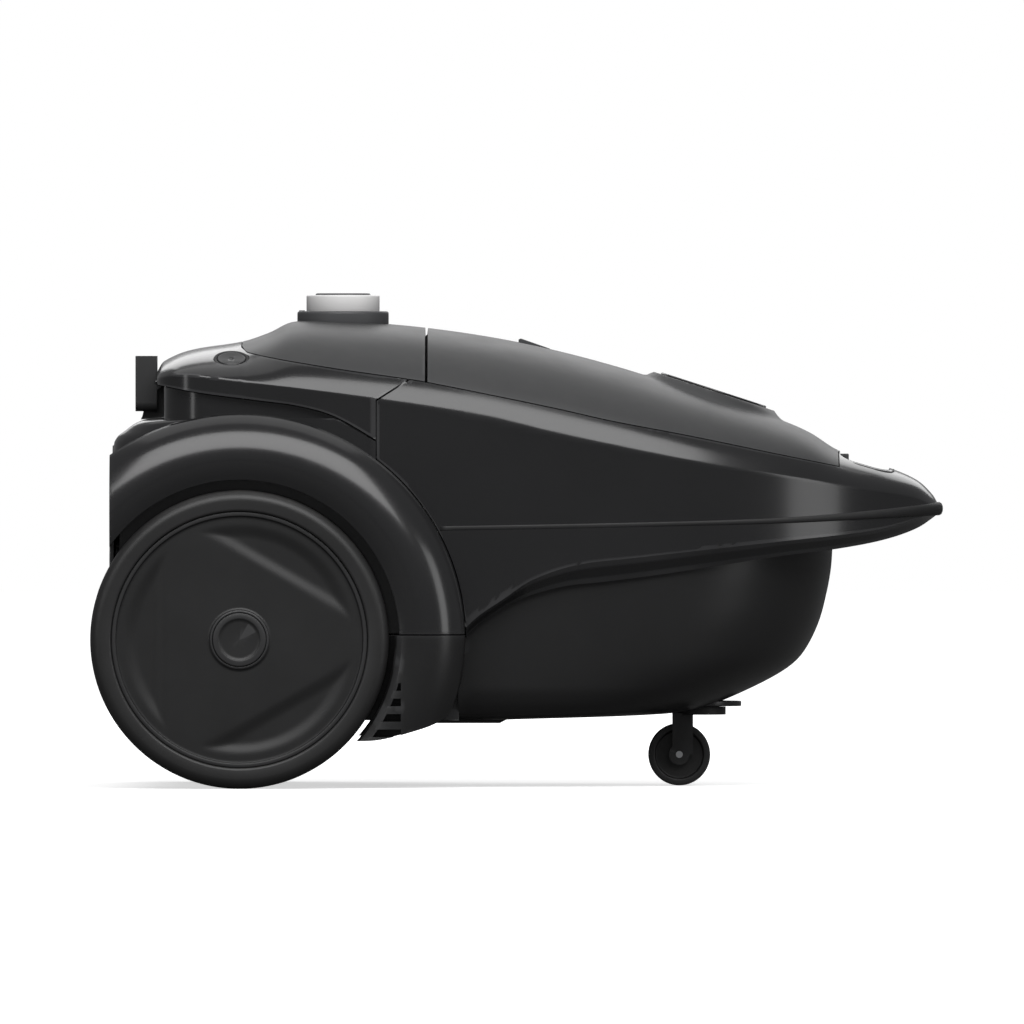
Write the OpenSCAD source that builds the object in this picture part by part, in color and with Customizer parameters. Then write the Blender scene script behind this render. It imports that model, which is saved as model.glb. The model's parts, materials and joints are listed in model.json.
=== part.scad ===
// Canister vacuum cleaner: a wheeled body with a hinged dust lid, motor, cord reel and filters.
// +X points to the nose, +Z up; the origin is on the floor under the middle of the whole body.

/* [Overall] */
// Length over all, from the back of the wheels to the tip of the bumper
overall_l = 493; // [440:1:600]
// Width of the body shells at their widest
body_w = 236; // [196:1:290]
// Thickness of the moulded shells
wall = 3; // [2.4:0.1:3.8]
// Gap between neighbouring shells
seam = 0.6; // [0.4:0.1:1]

/* [Rear wheels] */
// Diameter of a rear wheel
wheel_d = 172; // [143:1:176]
// Width of a rear tyre
tyre_w = 44; // [36:1:53]
// Radial thickness of a rear tyre
tyre_t = 12; // [9:0.5:15]
// Gap between a rear wheel and its arch
wheel_gap = 6; // [4:0.5:8]
// Radial depth of the arch around a rear wheel
arch_depth = 38; // [32:1:40]
// Diameter of the rear wheel axles
axle_d = 10; // [8:0.5:12]

/* [Front caster] */
// Diameter of the caster wheel
caster_d = 36; // [30:1:38]
// Width of the caster wheel
caster_w = 16; // [12:1:20]
// Diameter of the caster's swivel pin
swivel_d = 8; // [6:0.5:10]

/* [Lid] */
// Diameter of the lid's hinge pin
hinge_d = 5; // [4:0.5:6]
// Diameter of the socket that takes the hose end
socket_d = 44; // [36:1:53]
// Depth of the hose socket
socket_l = 30; // [26:1:36]

/* [Controls] */
// Diameter of the suction knob's white ring
knob_d = 42.4; // [35:0.2:51]
// Height of the suction knob
knob_h = 10.5; // [8:0.5:13]
// Diameter of a foot button
button_d = 16.4; // [13:0.2:18]
// Travel of a foot button
button_travel = 4; // [3:0.5:5]

/* [Motor and reel] */
// Diameter of the fan housing
fan_d = 120; // [100:1:128]
// Diameter of the motor can
can_d = 88; // [74:1:94]
// Diameter of the motor shaft
shaft_d = 8; // [6:0.5:10]
// Diameter of the cord reel's flanges
reel_d = 144; // [120:1:150]
// Diameter of the reel's axle
reel_axle_d = 8; // [6:0.5:10]
// Diameter of the hole that the power cord leaves through
cord_hole_d = 9; // [7:0.5:11]

/* [Hidden] */
$fn = 96;

// Clearances
running = 0.05;      // radial, of a shaft that turns in a bore
loose = 0.4;         // between pieces that stand beside each other
far = 400;           // longer than anything that it cuts

// Main places
wheel_r = wheel_d / 2;
axle_x = -overall_l / 2 + wheel_r;
axle_to_split = 108;                       // from the rear axle forward to the back edge of the lid
split_x = axle_x + axle_to_split;
bumper_out = 2;                            // how far the bumper stands out of the nose
nose_u = 297;                              // from the lid's back edge to the nose, as drawn
stretch = (overall_l / 2 - bumper_out - split_x) / nose_u;
widen = body_w / 236;
half_w = body_w / 2;
well_y = half_w - 18;                      // outer face of the wall behind a wheel
wheel_y = well_y + wheel_gap;              // inner face of a wheel
arch_in = wheel_r + wheel_gap;
arch_r = arch_in + arch_depth;
arch_bulge = 30;                           // radius of the arch's rounded face
arch_y = wheel_y + tyre_w - 8;             // outermost face of the arch
rear_x = axle_x - 75.5;                    // back face of the housing
belly_z = 39;                              // underside of the tub
base_z = 88.6;                             // seam between the tub and the rear shell
floor_z = belly_z + wall;                  // inner floor of the tub

// Outlines of the shells, as [distance ahead of the lid's back edge, height above the floor].
// Distances ahead of the lid's back edge stretch with the length of the nose.
TOP = [[-156, 241], [-153, 245.8], [-138, 252.3], [-107, 257.5], [-92, 262.5], [-78, 268.8], [-49, 269.2],
    [0, 265.3], [53, 257], [106, 244], [166, 225], [206, 211.5], [222, 204.5], [238, 194.5], [267, 184.5],
    [284, 177], [293, 168.5], [297, 161.5]];
BELT = [[-156, 236.5], [-142, 238.5], [-112, 235.4], [-30, 225], [32, 215], [76, 204.5], [150, 189.5],
    [228, 176.5], [280, 168], [297, 161]];
FLARE = [[20, 90.4], [30, 99.6], [44, 109], [60.5, 120], [86, 128.6], [120, 132.8], [205, 142.2],
    [259, 148.4], [284, 155], [297, 160]];
EDGE = [[20, 84], [30, 94], [52, 108], [77.5, 116], [103, 119], [137, 123.4], [205, 133.7],
    [236, 137.5], [264, 142.7], [284, 149.5], [297, 158]];
GROOVE = [[5, 149.8], [105, 151.6], [205, 154.2], [259, 157.5], [297, 160.5]];
LID_LINE = [[-1, 234.6], [32, 228], [76, 218.9], [105, 212.3], [150, 203.7], [204, 192.5], [238.5, 185.5]];
COVER_LINE = [[-107, 254.8], [-104, 251.6], [-61, 243.5], [-9, 235.9], [-1, 234.6]];
HOOD_LINE = [[-157, 233], [-130.5, 228], [-98, 223.8], [-74, 220.5], [-53.5, 214.6], [-29.3, 201]];
NOTCH = [[-10.7, 236.1], [-29.3, 224.3]];  // front edge of the hood, from the cover down to the side seam

function clamp(x, low, high) = min(max(x, low), high);
function piece_of(c, x, i = 0) = i >= len(c) - 2 || x < c[i + 1][0] ? i : piece_of(c, x, i + 1);
function slope_at(c, i) =
    let (a = c[max(i - 1, 0)], b = c[min(i + 1, len(c) - 1)]) (b[1] - a[1]) / (b[0] - a[0]);
// The height of a smooth curve through the outline's points
function curve(c, x_any) =
    let (
        x = clamp(x_any, c[0][0], c[len(c) - 1][0]),
        i = piece_of(c, x),
        h = c[i + 1][0] - c[i][0],
        t = (x - c[i][0]) / h,
        rise = c[i + 1][1] - c[i][1])
    c[i][1] + t * t * (3 - 2 * t) * rise
        + h * t * (1 - t) * ((1 - t) * slope_at(c, i) - t * slope_at(c, i + 1));
function bezier(p, t) =
    pow(1 - t, 3) * p[0] + 3 * t * pow(1 - t, 2) * p[1] + 3 * t * t * (1 - t) * p[2] + t * t * t * p[3];

// From a distance along the drawn body to the real place
function place_x(u) = split_x + (u < 0 ? u : u * stretch);
function placed(outline, rise = 0) = [for (p = outline) [place_x(p[0]), p[1] + rise]];
function backwards(outline) = [for (i = [len(outline) - 1 : -1 : 0]) outline[i]];

tail_u = -156;             // back end of the hood
tail_r = 26;               // its corner radius, seen from above
tail_w = 115;              // its half width
full_u = 5;                // where the body is widest
full_w = 118;              // half width there, as drawn
nose_round = 2.6;          // how squarely the nose ends, seen from above
nose_taper = 0.6;
lip = 8;                   // how far the lower lip turns in

function plan_w(u) = widen * (
    u < tail_u + tail_r ? tail_w - tail_r + sqrt(tail_r * tail_r - pow(tail_r - (u - tail_u), 2))
    : u < full_u ? tail_w + (full_w - tail_w) * (u - tail_u - tail_r) / (full_u - tail_u - tail_r)
    : full_w * pow(1 - pow((u - full_u) / (nose_u - full_u + 0.1), nose_round), nose_taper));

// One cross-section of the body, set in by t: lip, side wall and a shoulder that curves over the top
shoulder_steps = 9;
function shoulder(w, belt, top) =
    let (p = [[w, belt], [0.9 * w, belt + 0.75 * (top - belt)], [0.55 * w, top], [0, top]])
    [for (i = [0 : shoulder_steps]) bezier(p, i / shoulder_steps)];
function section(u, t, open_below) =
    let (
        through = open_below && u < tank_u,
        w = max(plan_w(u) - t, 0.6),
        foot = max(w - lip, 0.4),
        edge = curve(EDGE, u) + (through ? 0.2 : t),
        flare = max(curve(FLARE, u) + t * 0.3, edge + 0.4),
        belt = max(curve(BELT, u) - t * 0.5, flare + 0.4),
        top = max(curve(TOP, u) - t, belt + 0.4),
        low = through ? [foot, edge - 25] : [foot * 0.8, edge],
        side = concat([low, [foot, edge], [w, flare]], shoulder(w, belt, top)),
        n = len(side) - 1)
    concat(
        [[place_x(u), 0, top]],
        [for (i = [n - 1 : -1 : 0]) [place_x(u), -side[i][0], side[i][1]]],
        [for (i = [0 : n - 1]) [place_x(u), side[i][0], side[i][1]]]);
STATIONS = concat(
    [for (a = [0 : 18 : 90]) tail_u + tail_r * (1 - cos(a))],
    [for (u = [-118 : 13 : -10]) u],
    [for (a = [0 : 5 : 90]) full_u + (nose_u - full_u) * sin(a)]);
function stations(u0, u1) =
    concat([u0], [for (u = STATIONS) if (u > u0 + 0.4 && u < u1 - 0.4) u], [u1]);

// A closed skin over rings of points, each ring counter-clockwise as seen from the last ring's end
module loft(rings) {
    n = len(rings[0]);
    m = len(rings);
    sides = [for (j = [0 : m - 2], i = [0 : n - 1])
        let (a = j * n + i, b = j * n + (i + 1) % n) each [[a, a + n, b + n], [a, b + n, b]]];
    ends = [[for (i = [0 : n - 1]) i], [for (i = [n - 1 : -1 : 0]) (m - 1) * n + i]];
    polyhedron([for (r = rings) each r], concat(sides, ends), convexity = 6);
}
module body_form(u0, u1, t = 0, open_below = false)
    loft([for (u = stations(u0, u1)) section(u, t, open_below)]);
// Whatever lies inside an outline drawn on the side of the body
module side_region(points, width = far)
    rotate([90, 0, 0]) linear_extrude(height = width, center = true) polygon(points);
module along_y(r, length, x, z) translate([x, 0, z]) rotate([90, 0, 0]) cylinder(r = r, h = length, center = true);
module both_sides() {
    children();
    mirror([0, 1, 0]) children();
}
module block(x0, x1, half, z0, z1) translate([x0, -half, z0]) cube([x1 - x0, 2 * half, z1 - z0]);
// A plate seen from above: square at the front, rounded at the back
module tail_plate(x0, x1, half, r) {
    translate([x0 + r, -half]) square([x1 - x0 - r, 2 * half]);
    translate([x0, r - half]) square([r + 1, 2 * (half - r)]);
    for (y = [r - half, half - r]) translate([x0 + r, y]) circle(r = r);
}
module round_plate(x0, x1, half, r) {
    translate([x0 + r, -half]) square([x1 - x0 - 2 * r, 2 * half]);
    translate([x0, r - half]) square([x1 - x0, 2 * (half - r)]);
    for (x = [x0 + r, x1 - r], y = [r - half, half - r]) translate([x, y]) circle(r = r);
}
module ring(r_out, r_in, h) {
    difference() {
        cylinder(r = r_out, h = h);
        translate([0, 0, -1]) cylinder(r = r_in, h = h + 2);
    }
}

// ---------- Wheel arches and housing ----------
arch_low_z = 27.4;
// Cross-section of an arch: radius across, distance from the body's middle up
module arch_section(t) {
    intersection() {
        translate([arch_in + t, well_y - wall - 1]) square([arch_depth - 2 * t, 100]);
        union() {
            translate([arch_in + 12, arch_y - arch_bulge]) circle(r = arch_bulge - t);
            translate([arch_in - 20, well_y - wall - 2])
                square([arch_depth + 40, arch_y - arch_bulge - well_y + wall + 2]);
        }
    }
}
module at_axle() translate([axle_x, 0, wheel_r]) rotate([90, 0, 0]) children();
module arches(t = 0) both_sides() at_axle() rotate_extrude() arch_section(t);
module wells(grow = 0) both_sides() at_axle()
    translate([0, 0, well_y - grow]) cylinder(r = arch_in + grow, h = far);

neck_x = rear_x + 31.5;                    // back of the neck under the hood
deck_z = 213.3;                            // top of the housing
neck_half = half_w - 7 * widen;
hood_x = place_x(-29.3);                   // seam between the hood and the front shell
HOUSING = [[0, 0], [0, 50.4], [2.3, 106.4], [4, 113], [9, 117.4], [18, 123.1], [31.5, 124.7]];
function housing_side(t, low) = concat(
    [[hood_x + (t > 0 ? 1 : -seam / 2), low]],
    [[rear_x + t, low]],
    [for (p = HOUSING) [rear_x + p[0] + t, base_z + p[1] - t]],
    [[place_x(-52.5), deck_z - t], [hood_x + (t > 0 ? 1 : -seam / 2), HOOD_LINE[5][1] - 2 * seam - t]]);
module housing(t) {
    intersection() {
        side_region(housing_side(t, base_z + (t > 0 ? -5 : seam / 2)), 2 * (half_w - t));
        linear_extrude(height = far) tail_plate(rear_x + t, hood_x + 2, half_w - t, 30 - t);
    }
}
module neck_plate(t, low) translate([0, 0, low]) linear_extrude(height = 60)
    tail_plate(neck_x + t, hood_x + (t > 0 ? 1 : -seam / 2), neck_half - t, tail_r - t);
module neck() {
    intersection() {
        neck_plate(0, deck_z - 2 * wall - 1);
        side_region(concat(placed(HOOD_LINE, -seam), [[hood_x + 2, 200.4], [hood_x + 2, 150], [rear_x, 150]]));
    }
}
exhaust_half = 62;
exhaust_z0 = base_z + 12;
exhaust_z1 = exhaust_z0 + 70;
cord_y = 46;
cord_z = 188;
gland_r = cord_hole_d / 2 + 4.5;
axle_boss_r = axle_d / 2 + 7;

module rear_shell() {
    color("#26262a") difference() {
        union() {
            housing(0);
            neck();
            intersection() {
                arches();
                translate([rear_x + 0.5, -far / 2, base_z + seam / 2]) cube([far, far, far]);
            }
        }
        difference() {
            union() {
                housing(wall);
                neck_plate(wall, HOOD_LINE[5][1] - 15);
                intersection() {
                    arches(wall);
                    translate([rear_x + wall, -far / 2, 0]) cube([far, far, far]);
                }
            }
            wells(wall);
        }
        wells();
        // room for the tub's axle bosses, the exhaust door and the cord outlet
        both_sides() at_axle() translate([0, 0, well_y - 20]) cylinder(r = axle_boss_r + loose, h = 30);
        block(rear_x - 5, rear_x + 8, exhaust_half + loose, exhaust_z0 - loose, exhaust_z1 + loose);
        translate([rear_x - 5, cord_y, cord_z]) rotate([0, 90, 0]) cylinder(r = gland_r, h = 20);
        along_y(door_pin_r + running, 2 * exhaust_half + 6, door_x, door_z);
    }
}

// ---------- Tub ----------
tank_back_u = 18;
tank_in = 12.6;                              // how far the tank stands in from the shell
tank_u = 235;                              // front of the tank at its top
TANK_FRONT = [[39, 60], [40.5, 118], [42.6, 149], [52.8, 179.5], [69, 210.5], [81, 220.5], [96, 227.5],
    [108, 230.7], [125, 234], [140, 235]];
TANK_SIDE = [[39, -17], [41, -9], [46, -4], [52, -1.2], [58, 0], [140, 0.4]];
TANK_LEVELS = [39, 40, 41, 43, 46, 50, 55, 61, 68, 76, 85, 96, 110, 125, 140];
tank_steps = 10;
// Half of the tank seen from above at one height, from its back corner round to the middle of its front
function tank_half(z, t) =
    let (front = curve(TANK_FRONT, z) - t / stretch, side = widen * curve(TANK_SIDE, z) - t)
    concat(
        [[tank_back_u, plan_w(tank_back_u) - tank_in + side]],
        [for (i = [0 : tank_steps])
            let (
                s = sin(90 * i / tank_steps),
                u = tank_back_u + (front - tank_back_u) * s,
                full = tank_back_u + (tank_u - tank_back_u) * s * 0.86)
            [u, max((plan_w(full) - tank_in + side) * pow(1 - pow(s, 6), 0.5), 0)]]);
function tank_ring(z, height, t) =
    let (half = [for (p = tank_half(height, t)) [place_x(p[0]), p[1]]], n = len(half))
    concat(
        [for (i = [0 : n - 1]) [half[i][0], -half[i][1], z]],
        [for (i = [n - 2 : -1 : 0]) [half[i][0], half[i][1], z]]);
module tank_form(t) loft([for (z = TANK_LEVELS) tank_ring(z + (t > 0 ? wall + (z > 130 ? 20 : 0) : 0), z, t)]);
function edge_line(drop) = [for (u = [20 : 8 : 244]) [place_x(u), curve(EDGE, u) - drop]];

box_x1 = place_x(24);
module tub_box(t) {
    low = belly_z + t;
    high = base_z - seam / 2 + (t > 0 ? 5 : 0);
    intersection() {
        side_region([[rear_x + t, high], [rear_x + t, 70], [rear_x + 12 + t, low + 6], [rear_x + 20 + t, low],
            [box_x1 + t, low], [box_x1 + t, high]], 2 * (well_y - t));
        linear_extrude(height = far) tail_plate(rear_x + t, box_x1 + 10, well_y - t, 24 - t);
    }
}
module lower_arches(t = 0) {
    intersection() {
        arches(t);
        side_region([[axle_x + 55, arch_low_z + t], [place_x(-27), arch_low_z + t], [place_x(-9), arch_low_z + 4.6 + t],
            [place_x(8), arch_low_z + 10 + t], [place_x(15) - t / 2, arch_low_z + 19], [axle_x + arch_r, 70],
            [axle_x + arch_r, base_z - seam / 2 + t], [axle_x + 55, base_z - seam / 2 + t]]);
    }
}
vent_pitch = 8.9;
vent_h = 4.4;
swivel_x = place_x(158);
swivel_z = 46;                             // underside of the caster's socket
swivel_boss_h = 22;
recess_r = 21;                             // room for the caster's fork to swivel
cover_screws = [[rear_x + 22, 60], [rear_x + 22, -60], [place_x(-6), 60], [place_x(-6), -60]];
screw_r = 1.75;

module base_tub() {
    color("#1f1f22") difference() {
        union() {
            difference() {
                union() {
                    tub_box(0);
                    lower_arches();
                    intersection() {
                        tank_form(0);
                        side_region(concat(edge_line(-4), [[place_x(244), 0], [place_x(12), 0], [place_x(12), 84]]));
                    }
                }
                difference() {
                    union() {
                        tub_box(wall);
                        lower_arches(wall);
                        tank_form(wall);
                    }
                    wells(wall);
                }
            }
            // axle bosses, the caster's socket and the screw pillars
            both_sides() at_axle() translate([0, 0, well_y - 16]) cylinder(r = axle_boss_r, h = 16);
            translate([swivel_x, 0, swivel_z]) cylinder(r = swivel_d / 2 + 5, h = swivel_boss_h);
            intersection() {
                tank_form(0);
                translate([swivel_x, 0, belly_z]) cylinder(r = recess_r + wall, h = swivel_z + wall - belly_z);
            }
            for (p = cover_screws) translate([p[0], p[1], belly_z + 1]) cylinder(r = 4.5, h = 26);
        }
        wells();
        both_sides() at_axle() translate([0, 0, well_y - 20]) cylinder(r = axle_d / 2, h = 40);
        translate([swivel_x, 0, swivel_z - 10]) cylinder(r = swivel_d / 2 + running, h = swivel_boss_h + 5);
        translate([swivel_x, 0, 0]) cylinder(r = recess_r, h = swivel_z);
        for (p = cover_screws) translate([p[0], p[1], 0]) {
            cylinder(r = screw_r, h = belly_z + 24);
            cylinder(r = 4, h = belly_z + 2);
        }
        // louvres in the arch, ahead of its inner lip
        both_sides() difference() {
            for (i = [0 : 3])
                translate([axle_x + 60, half_w - 6, arch_low_z + 2.4 + i * vent_pitch]) cube([33, 60, vent_h]);
            at_axle() cylinder(r = arch_in + wall, h = far, center = true);
        }
    }
}
module belly_plate() {
    color("#1b1b1d") difference() {
        side_region([[place_x(0.5), 36.4], [place_x(42), 36.4], [place_x(47), belly_z], [place_x(0.5), belly_z]], 60);
        translate([place_x(14), -11, 30]) cube([16, 22, 20]);
    }
}

// ---------- Front shell with its carrying handle ----------
hole_x0 = place_x(238.5) + seam;
hole_x1 = place_x(268);
module hand_hole(grow, z0, z1) {
    translate([0, 0, z0]) linear_extrude(height = z1 - z0) hull() {
        for (s = [-1, 1]) {
            translate([hole_x0 + 8, s * (46 * widen - 8)]) circle(r = 8 + grow, $fn = 32);
            translate([hole_x1 - 9, s * (33 * widen - 9)]) circle(r = 9 + grow, $fn = 32);
        }
    }
}
function bumper_ring(u, grow, deep) =
    let (
        h = 1.25 + 2.6 * pow(max((u - full_u) / (nose_u - full_u), 0), 5) + grow,
        out = grow + 0.3,
        z = curve(GROOVE, u),
        y = plan_w(u))
    [[y + out, z - h], [y + out, z + h], [max(y - deep, 0), z + h], [max(y - deep, 0), z - h]];
// A strip that follows the side of the body round the nose
STRIP = concat([full_u + 2.5], [for (a = [5 : 5 : 85]) full_u + (nose_u - full_u) * sin(a)]);
strip_n = len(STRIP);
function strip_points(grow, deep) = let (
        at = [for (u = STRIP) let (r = bumper_ring(u, grow, deep),
            out = bumper_out * pow((u - full_u) / (nose_u - full_u), 4))
            [for (i = [0 : 3]) [place_x(u) + (i < 2 ? out + grow : -deep * 0.7), r[i][0], r[i][1]]]],
        tip = bumper_ring(nose_u, grow, 0),
        front = [for (i = [0 : 3]) [place_x(nose_u) + (i < 2 ? bumper_out + grow : -deep), 0, tip[i][1]]])
    concat(at, [front], [for (i = [strip_n - 1 : -1 : 0]) [for (p = at[i]) [p[0], -p[1], p[2]]]]);
module strip(grow, deep) loft(strip_points(grow, deep));
strip_deep = 1.6;

ledge_w = 7;
module lid_ring(t0, t1, rise0, rise1, u0) {
    intersection() {
        difference() {
            body_form(u0, 233, t0);
            body_form(u0 - 1, 234, t1, true);
        }
        side_region(concat(placed(LID_LINE, rise0), backwards(placed(LID_LINE, rise1))));
    }
}
module front_shell() {
    color("#232327") difference() {
        union() {
            intersection() {
                difference() {
                    body_form(-29, nose_u);
                    difference() {
                        body_form(-30, nose_u - 4, wall, true);
                        hand_hole(wall, 0, far);
                    }
                }
                side_region(concat(
                    [[hood_x + seam / 2, 60], [hood_x + seam / 2, NOTCH[1][1] - seam]],
                    [[place_x(NOTCH[0][0]) + seam, NOTCH[0][1] - seam - 0.6]],
                    placed(LID_LINE, -seam),
                    [[hole_x0, LID_LINE[6][1] - seam], [hole_x0, 220], [place_x(310), 220], [place_x(310), 60]]));
            }
            lid_ring(wall - 1, wall + ledge_w, -wall - 3, -wall, -8);
        }
        hand_hole(0, 0, far);
        at_axle() cylinder(r = arch_r + seam, h = far, center = true);
        strip(loose / 2, strip_deep + loose);
    }
}
module bumper_strip() color("#111113") difference() {
    strip(0, strip_deep);
    hand_hole(wall + 1, 0, far);
}

// ---------- Hood, cover and lid ----------
hinge_x = split_x + 6;
hinge_z = 254.5;
// The room that the lid's back edge turns in: its reach from the hinge at each place across the lid
module hinge_sweep() {
    reach = [for (p = section(0, 0, false)) if (p[1] >= 0 && p[2] > hinge_z - 3)
        [norm([hinge_x - split_x, max(p[2] - hinge_z, 0)]) + seam, p[1]]];
    both_sides() translate([hinge_x, 0, hinge_z]) rotate([-90, 0, 0]) rotate_extrude() polygon(concat(
        [[0, 0], reach[0]], [for (i = [len(reach) - 1 : -1 : 1]) reach[i]], [[0, reach[1][1]]]));
}
collar_x = axle_x + 59;
collar_r = knob_d / 2 + 5.3;
collar_z = 275;
button_x = axle_x - 5;
button_y = 95 * widen;
button_z = 247.5;
button_tilt = 26;
bezel_r = button_d / 2 + 2.3;
module at_button(side)
    translate([button_x, side * button_y, button_z]) rotate([-side * button_tilt, 0, 0]) children();

module rear_hood() {
    color("#202024") difference() {
        union() {
            difference() {
                intersection() {
                    body_form(tail_u, -9);
                    side_region(concat(
                        placed([for (i = [0 : 4]) HOOD_LINE[i]]),
                        [[hood_x - seam / 2, HOOD_LINE[5][1] + seam], [hood_x - seam / 2, NOTCH[1][1]]],
                        [[place_x(NOTCH[0][0]), NOTCH[0][1] - seam]],
                        backwards(placed([for (i = [0 : 3]) COVER_LINE[i]], -seam)),
                        [[place_x(-107) - seam, 300], [place_x(-160), 300]]));
                }
                body_form(tail_u + wall, -8, wall, true);
            }
            for (side = [-1, 1]) at_button(side) translate([0, 0, -9]) cylinder(r = bezel_r + 2, h = 8);
        }
        for (side = [-1, 1]) at_button(side) translate([0, 0, -12]) cylinder(r = bezel_r, h = 30);
    }
}
module rear_cover() {
    color("#57585a") difference() {
        intersection() {
            difference() {
                body_form(-107, -seam / 2);
                body_form(-107 + wall, 5, wall, true);
            }
            side_region(concat(placed(COVER_LINE), [[split_x - seam / 2, 300], [place_x(-107), 300]]));
        }
        hinge_sweep();
        translate([collar_x, 0, 200]) cylinder(r = collar_r - 3, h = 100);
    }
}

inlet_x = place_x(165.8);
inlet_z = 228.7;
inlet_tilt = 17.9;
socket_r = socket_d / 2 + 4;               // outside of the hose socket
rim_r = socket_d / 2 + 15;                 // raised rim around it
module at_inlet() translate([inlet_x, 0, inlet_z]) rotate([0, inlet_tilt, 0]) children();
lid_t = 2.6;
ear_y = 40;                                // middle of a hinge ear
ear_t = 8;
ear_r = hinge_d / 2 + 1.6;
latch_x = place_x(241);
latch_z = 189.5;
latch_half = 15;
latch_pin_r = 1.5;
window_x0 = place_x(52.7);
window_x1 = place_x(71.2);
window_half = 7;
gasket_low = -0.7;
gasket_high = 4;

module front_lid() {
    color("#56575a") difference() {
        union() {
            intersection() {
                difference() {
                    body_form(seam / 2, 238.5 - seam);
                    body_form(-4, 237.5 - lid_t, lid_t, true);
                }
                side_region(concat(placed(LID_LINE), [[place_x(238.5), 300], [split_x, 300]]));
                translate([split_x + seam / 2, -far, 0]) cube([2 * far, 2 * far, far]);
            }
            lid_ring(lid_t - 0.6, wall + 5, gasket_high, gasket_high + 2.4, 1.5);
            at_inlet() translate([0, 0, -9]) cylinder(r1 = rim_r + 7, r2 = rim_r, h = 9);
            at_inlet() translate([0, 0, -14]) cylinder(r = rim_r - 6, h = 6);
            both_sides() translate([0, ear_y - ear_t / 2, 0]) {
                translate([hinge_x, 0, hinge_z]) rotate([-90, 0, 0]) cylinder(r = ear_r, h = ear_t);
                translate([hinge_x, 0, hinge_z + 1]) cube([14, ear_t, curve(TOP, 20) - lid_t - hinge_z - 1.4]);
            }
            // cheeks that carry the latch pin
            both_sides() translate([latch_x - 6, latch_half + loose, latch_z - 2.6]) cube([9.2, 4, 5.4]);
        }
        at_inlet() translate([0, 0, -30]) cylinder(r = socket_r, h = 60);
        both_sides() translate([hinge_x, ear_y - 15, hinge_z]) rotate([-90, 0, 0])
            cylinder(r = hinge_d / 2 + running, h = 30);
        along_y(latch_pin_r + running, 4 * latch_half, latch_x, latch_z);
        block(window_x0, window_x1, window_half, 200, 300);
    }
}
module lid_gasket() color("#141414") lid_ring(wall + loose, wall + 4.6, gasket_low, gasket_high, 1.5);
module lid_hinge_pins() color("#b9bcc0") both_sides()
    translate([hinge_x, ear_y - ear_t, hinge_z]) rotate([-90, 0, 0]) cylinder(r = hinge_d / 2, h = 2 * ear_t);
module lid_latch() {
    color("#1d1d1f") {
        along_y(latch_pin_r, 2 * (latch_half + loose + 4), latch_x, latch_z);
        along_y(latch_pin_r + 1.2, 2 * latch_half, latch_x, latch_z);
        block(latch_x - 0.2, latch_x + 2.6, latch_half, latch_z - 16, latch_z);
        block(latch_x - 0.9, latch_x + 1.5, latch_half, latch_z - 17.5, latch_z - 15);
    }
}
module hose_socket() {
    color("#2a2a2c") at_inlet() difference() {
        translate([0, 0, -socket_l]) cylinder(r = socket_r - running, h = socket_l);
        translate([0, 0, -socket_l - 1]) cylinder(r = socket_d / 2, h = socket_l + 2);
    }
}
module hose_socket_ring() color("#0e0e0f") at_inlet() ring(socket_r + 6, socket_d / 2, 1.2);
module hose_seal() color("#161616") at_inlet() translate([0, 0, -socket_l - 3]) ring(socket_r + 1, socket_d / 2, 3);
module indicator_window() {
    color("#4b4c4e") side_region([
        [window_x0 + 0.1, curve(TOP, 53) - 6], [window_x0 + 0.1, curve(TOP, 53) + 1.6],
        [window_x0 + 1.4, curve(TOP, 53) + 2.2], [window_x1 - 0.1, curve(TOP, 71) + 0.2],
        [window_x1 - 0.1, curve(TOP, 71) - 4]], 2 * window_half - 0.2);
}
flag_travel = 5;
module indicator_flag() color("#b3261e")
    block(window_x0 + 2, window_x1 - flag_travel - 2, window_half - 2.5, curve(TOP, 71) - 9, curve(TOP, 71) - 6.5);

// ---------- Pieces on the outside ----------
bracket_x = rear_x + 14.3;                 // back of the parking bracket
bracket_d = 12.4;                          // its depth
bracket_half = 22;
bracket_z0 = 217;
bracket_z1 = 249;
slot_half = 11;
module parking_bracket() {
    color("#161618") difference() {
        union() {
            translate([bracket_x, 0, 0]) rotate([90, 0, 90]) linear_extrude(height = bracket_d) {
                translate([-bracket_half, bracket_z0 + 5]) square([2 * bracket_half, bracket_z1 - bracket_z0 - 5]);
                translate([5 - bracket_half, bracket_z0]) square([2 * bracket_half - 10, 6]);
                for (y = [5 - bracket_half, bracket_half - 5]) translate([y, bracket_z0 + 5]) circle(r = 5);
            }
            block(bracket_x + bracket_d - 1, neck_x - 0.3, 14, bracket_z0, 232);
            side_region([[bracket_x + 3, 212.2], [neck_x - 0.3, deck_z + 0.2], [neck_x - 0.3, bracket_z0 + 2],
                [bracket_x + 5, bracket_z0 + 2], [bracket_x + 4, 214.5]], 24);
        }
        block(bracket_x + 3, bracket_x + bracket_d - 3, bracket_half - 3, bracket_z0 + 3, 300);
        block(bracket_x - 5, bracket_x + 5, slot_half, bracket_z0 + 3, 300);
    }
}
module cord_outlet() {
    color("#101010") difference() {
        translate([rear_x + 0.3, cord_y, cord_z]) rotate([0, 90, 0]) {
            cylinder(r = gland_r - running, h = 12);
            translate([0, 0, 7.5]) cylinder(r = gland_r + 1.5, h = 3);
        }
        translate([rear_x - 5, cord_y, cord_z]) rotate([0, 90, 0]) cylinder(r = cord_hole_d / 2, h = 40);
    }
}
door_x = rear_x + 1.9;                     // axis of the exhaust door
door_z = exhaust_z0 + 1.6;
door_pin_r = 0.8;
slots = 7;
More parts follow.
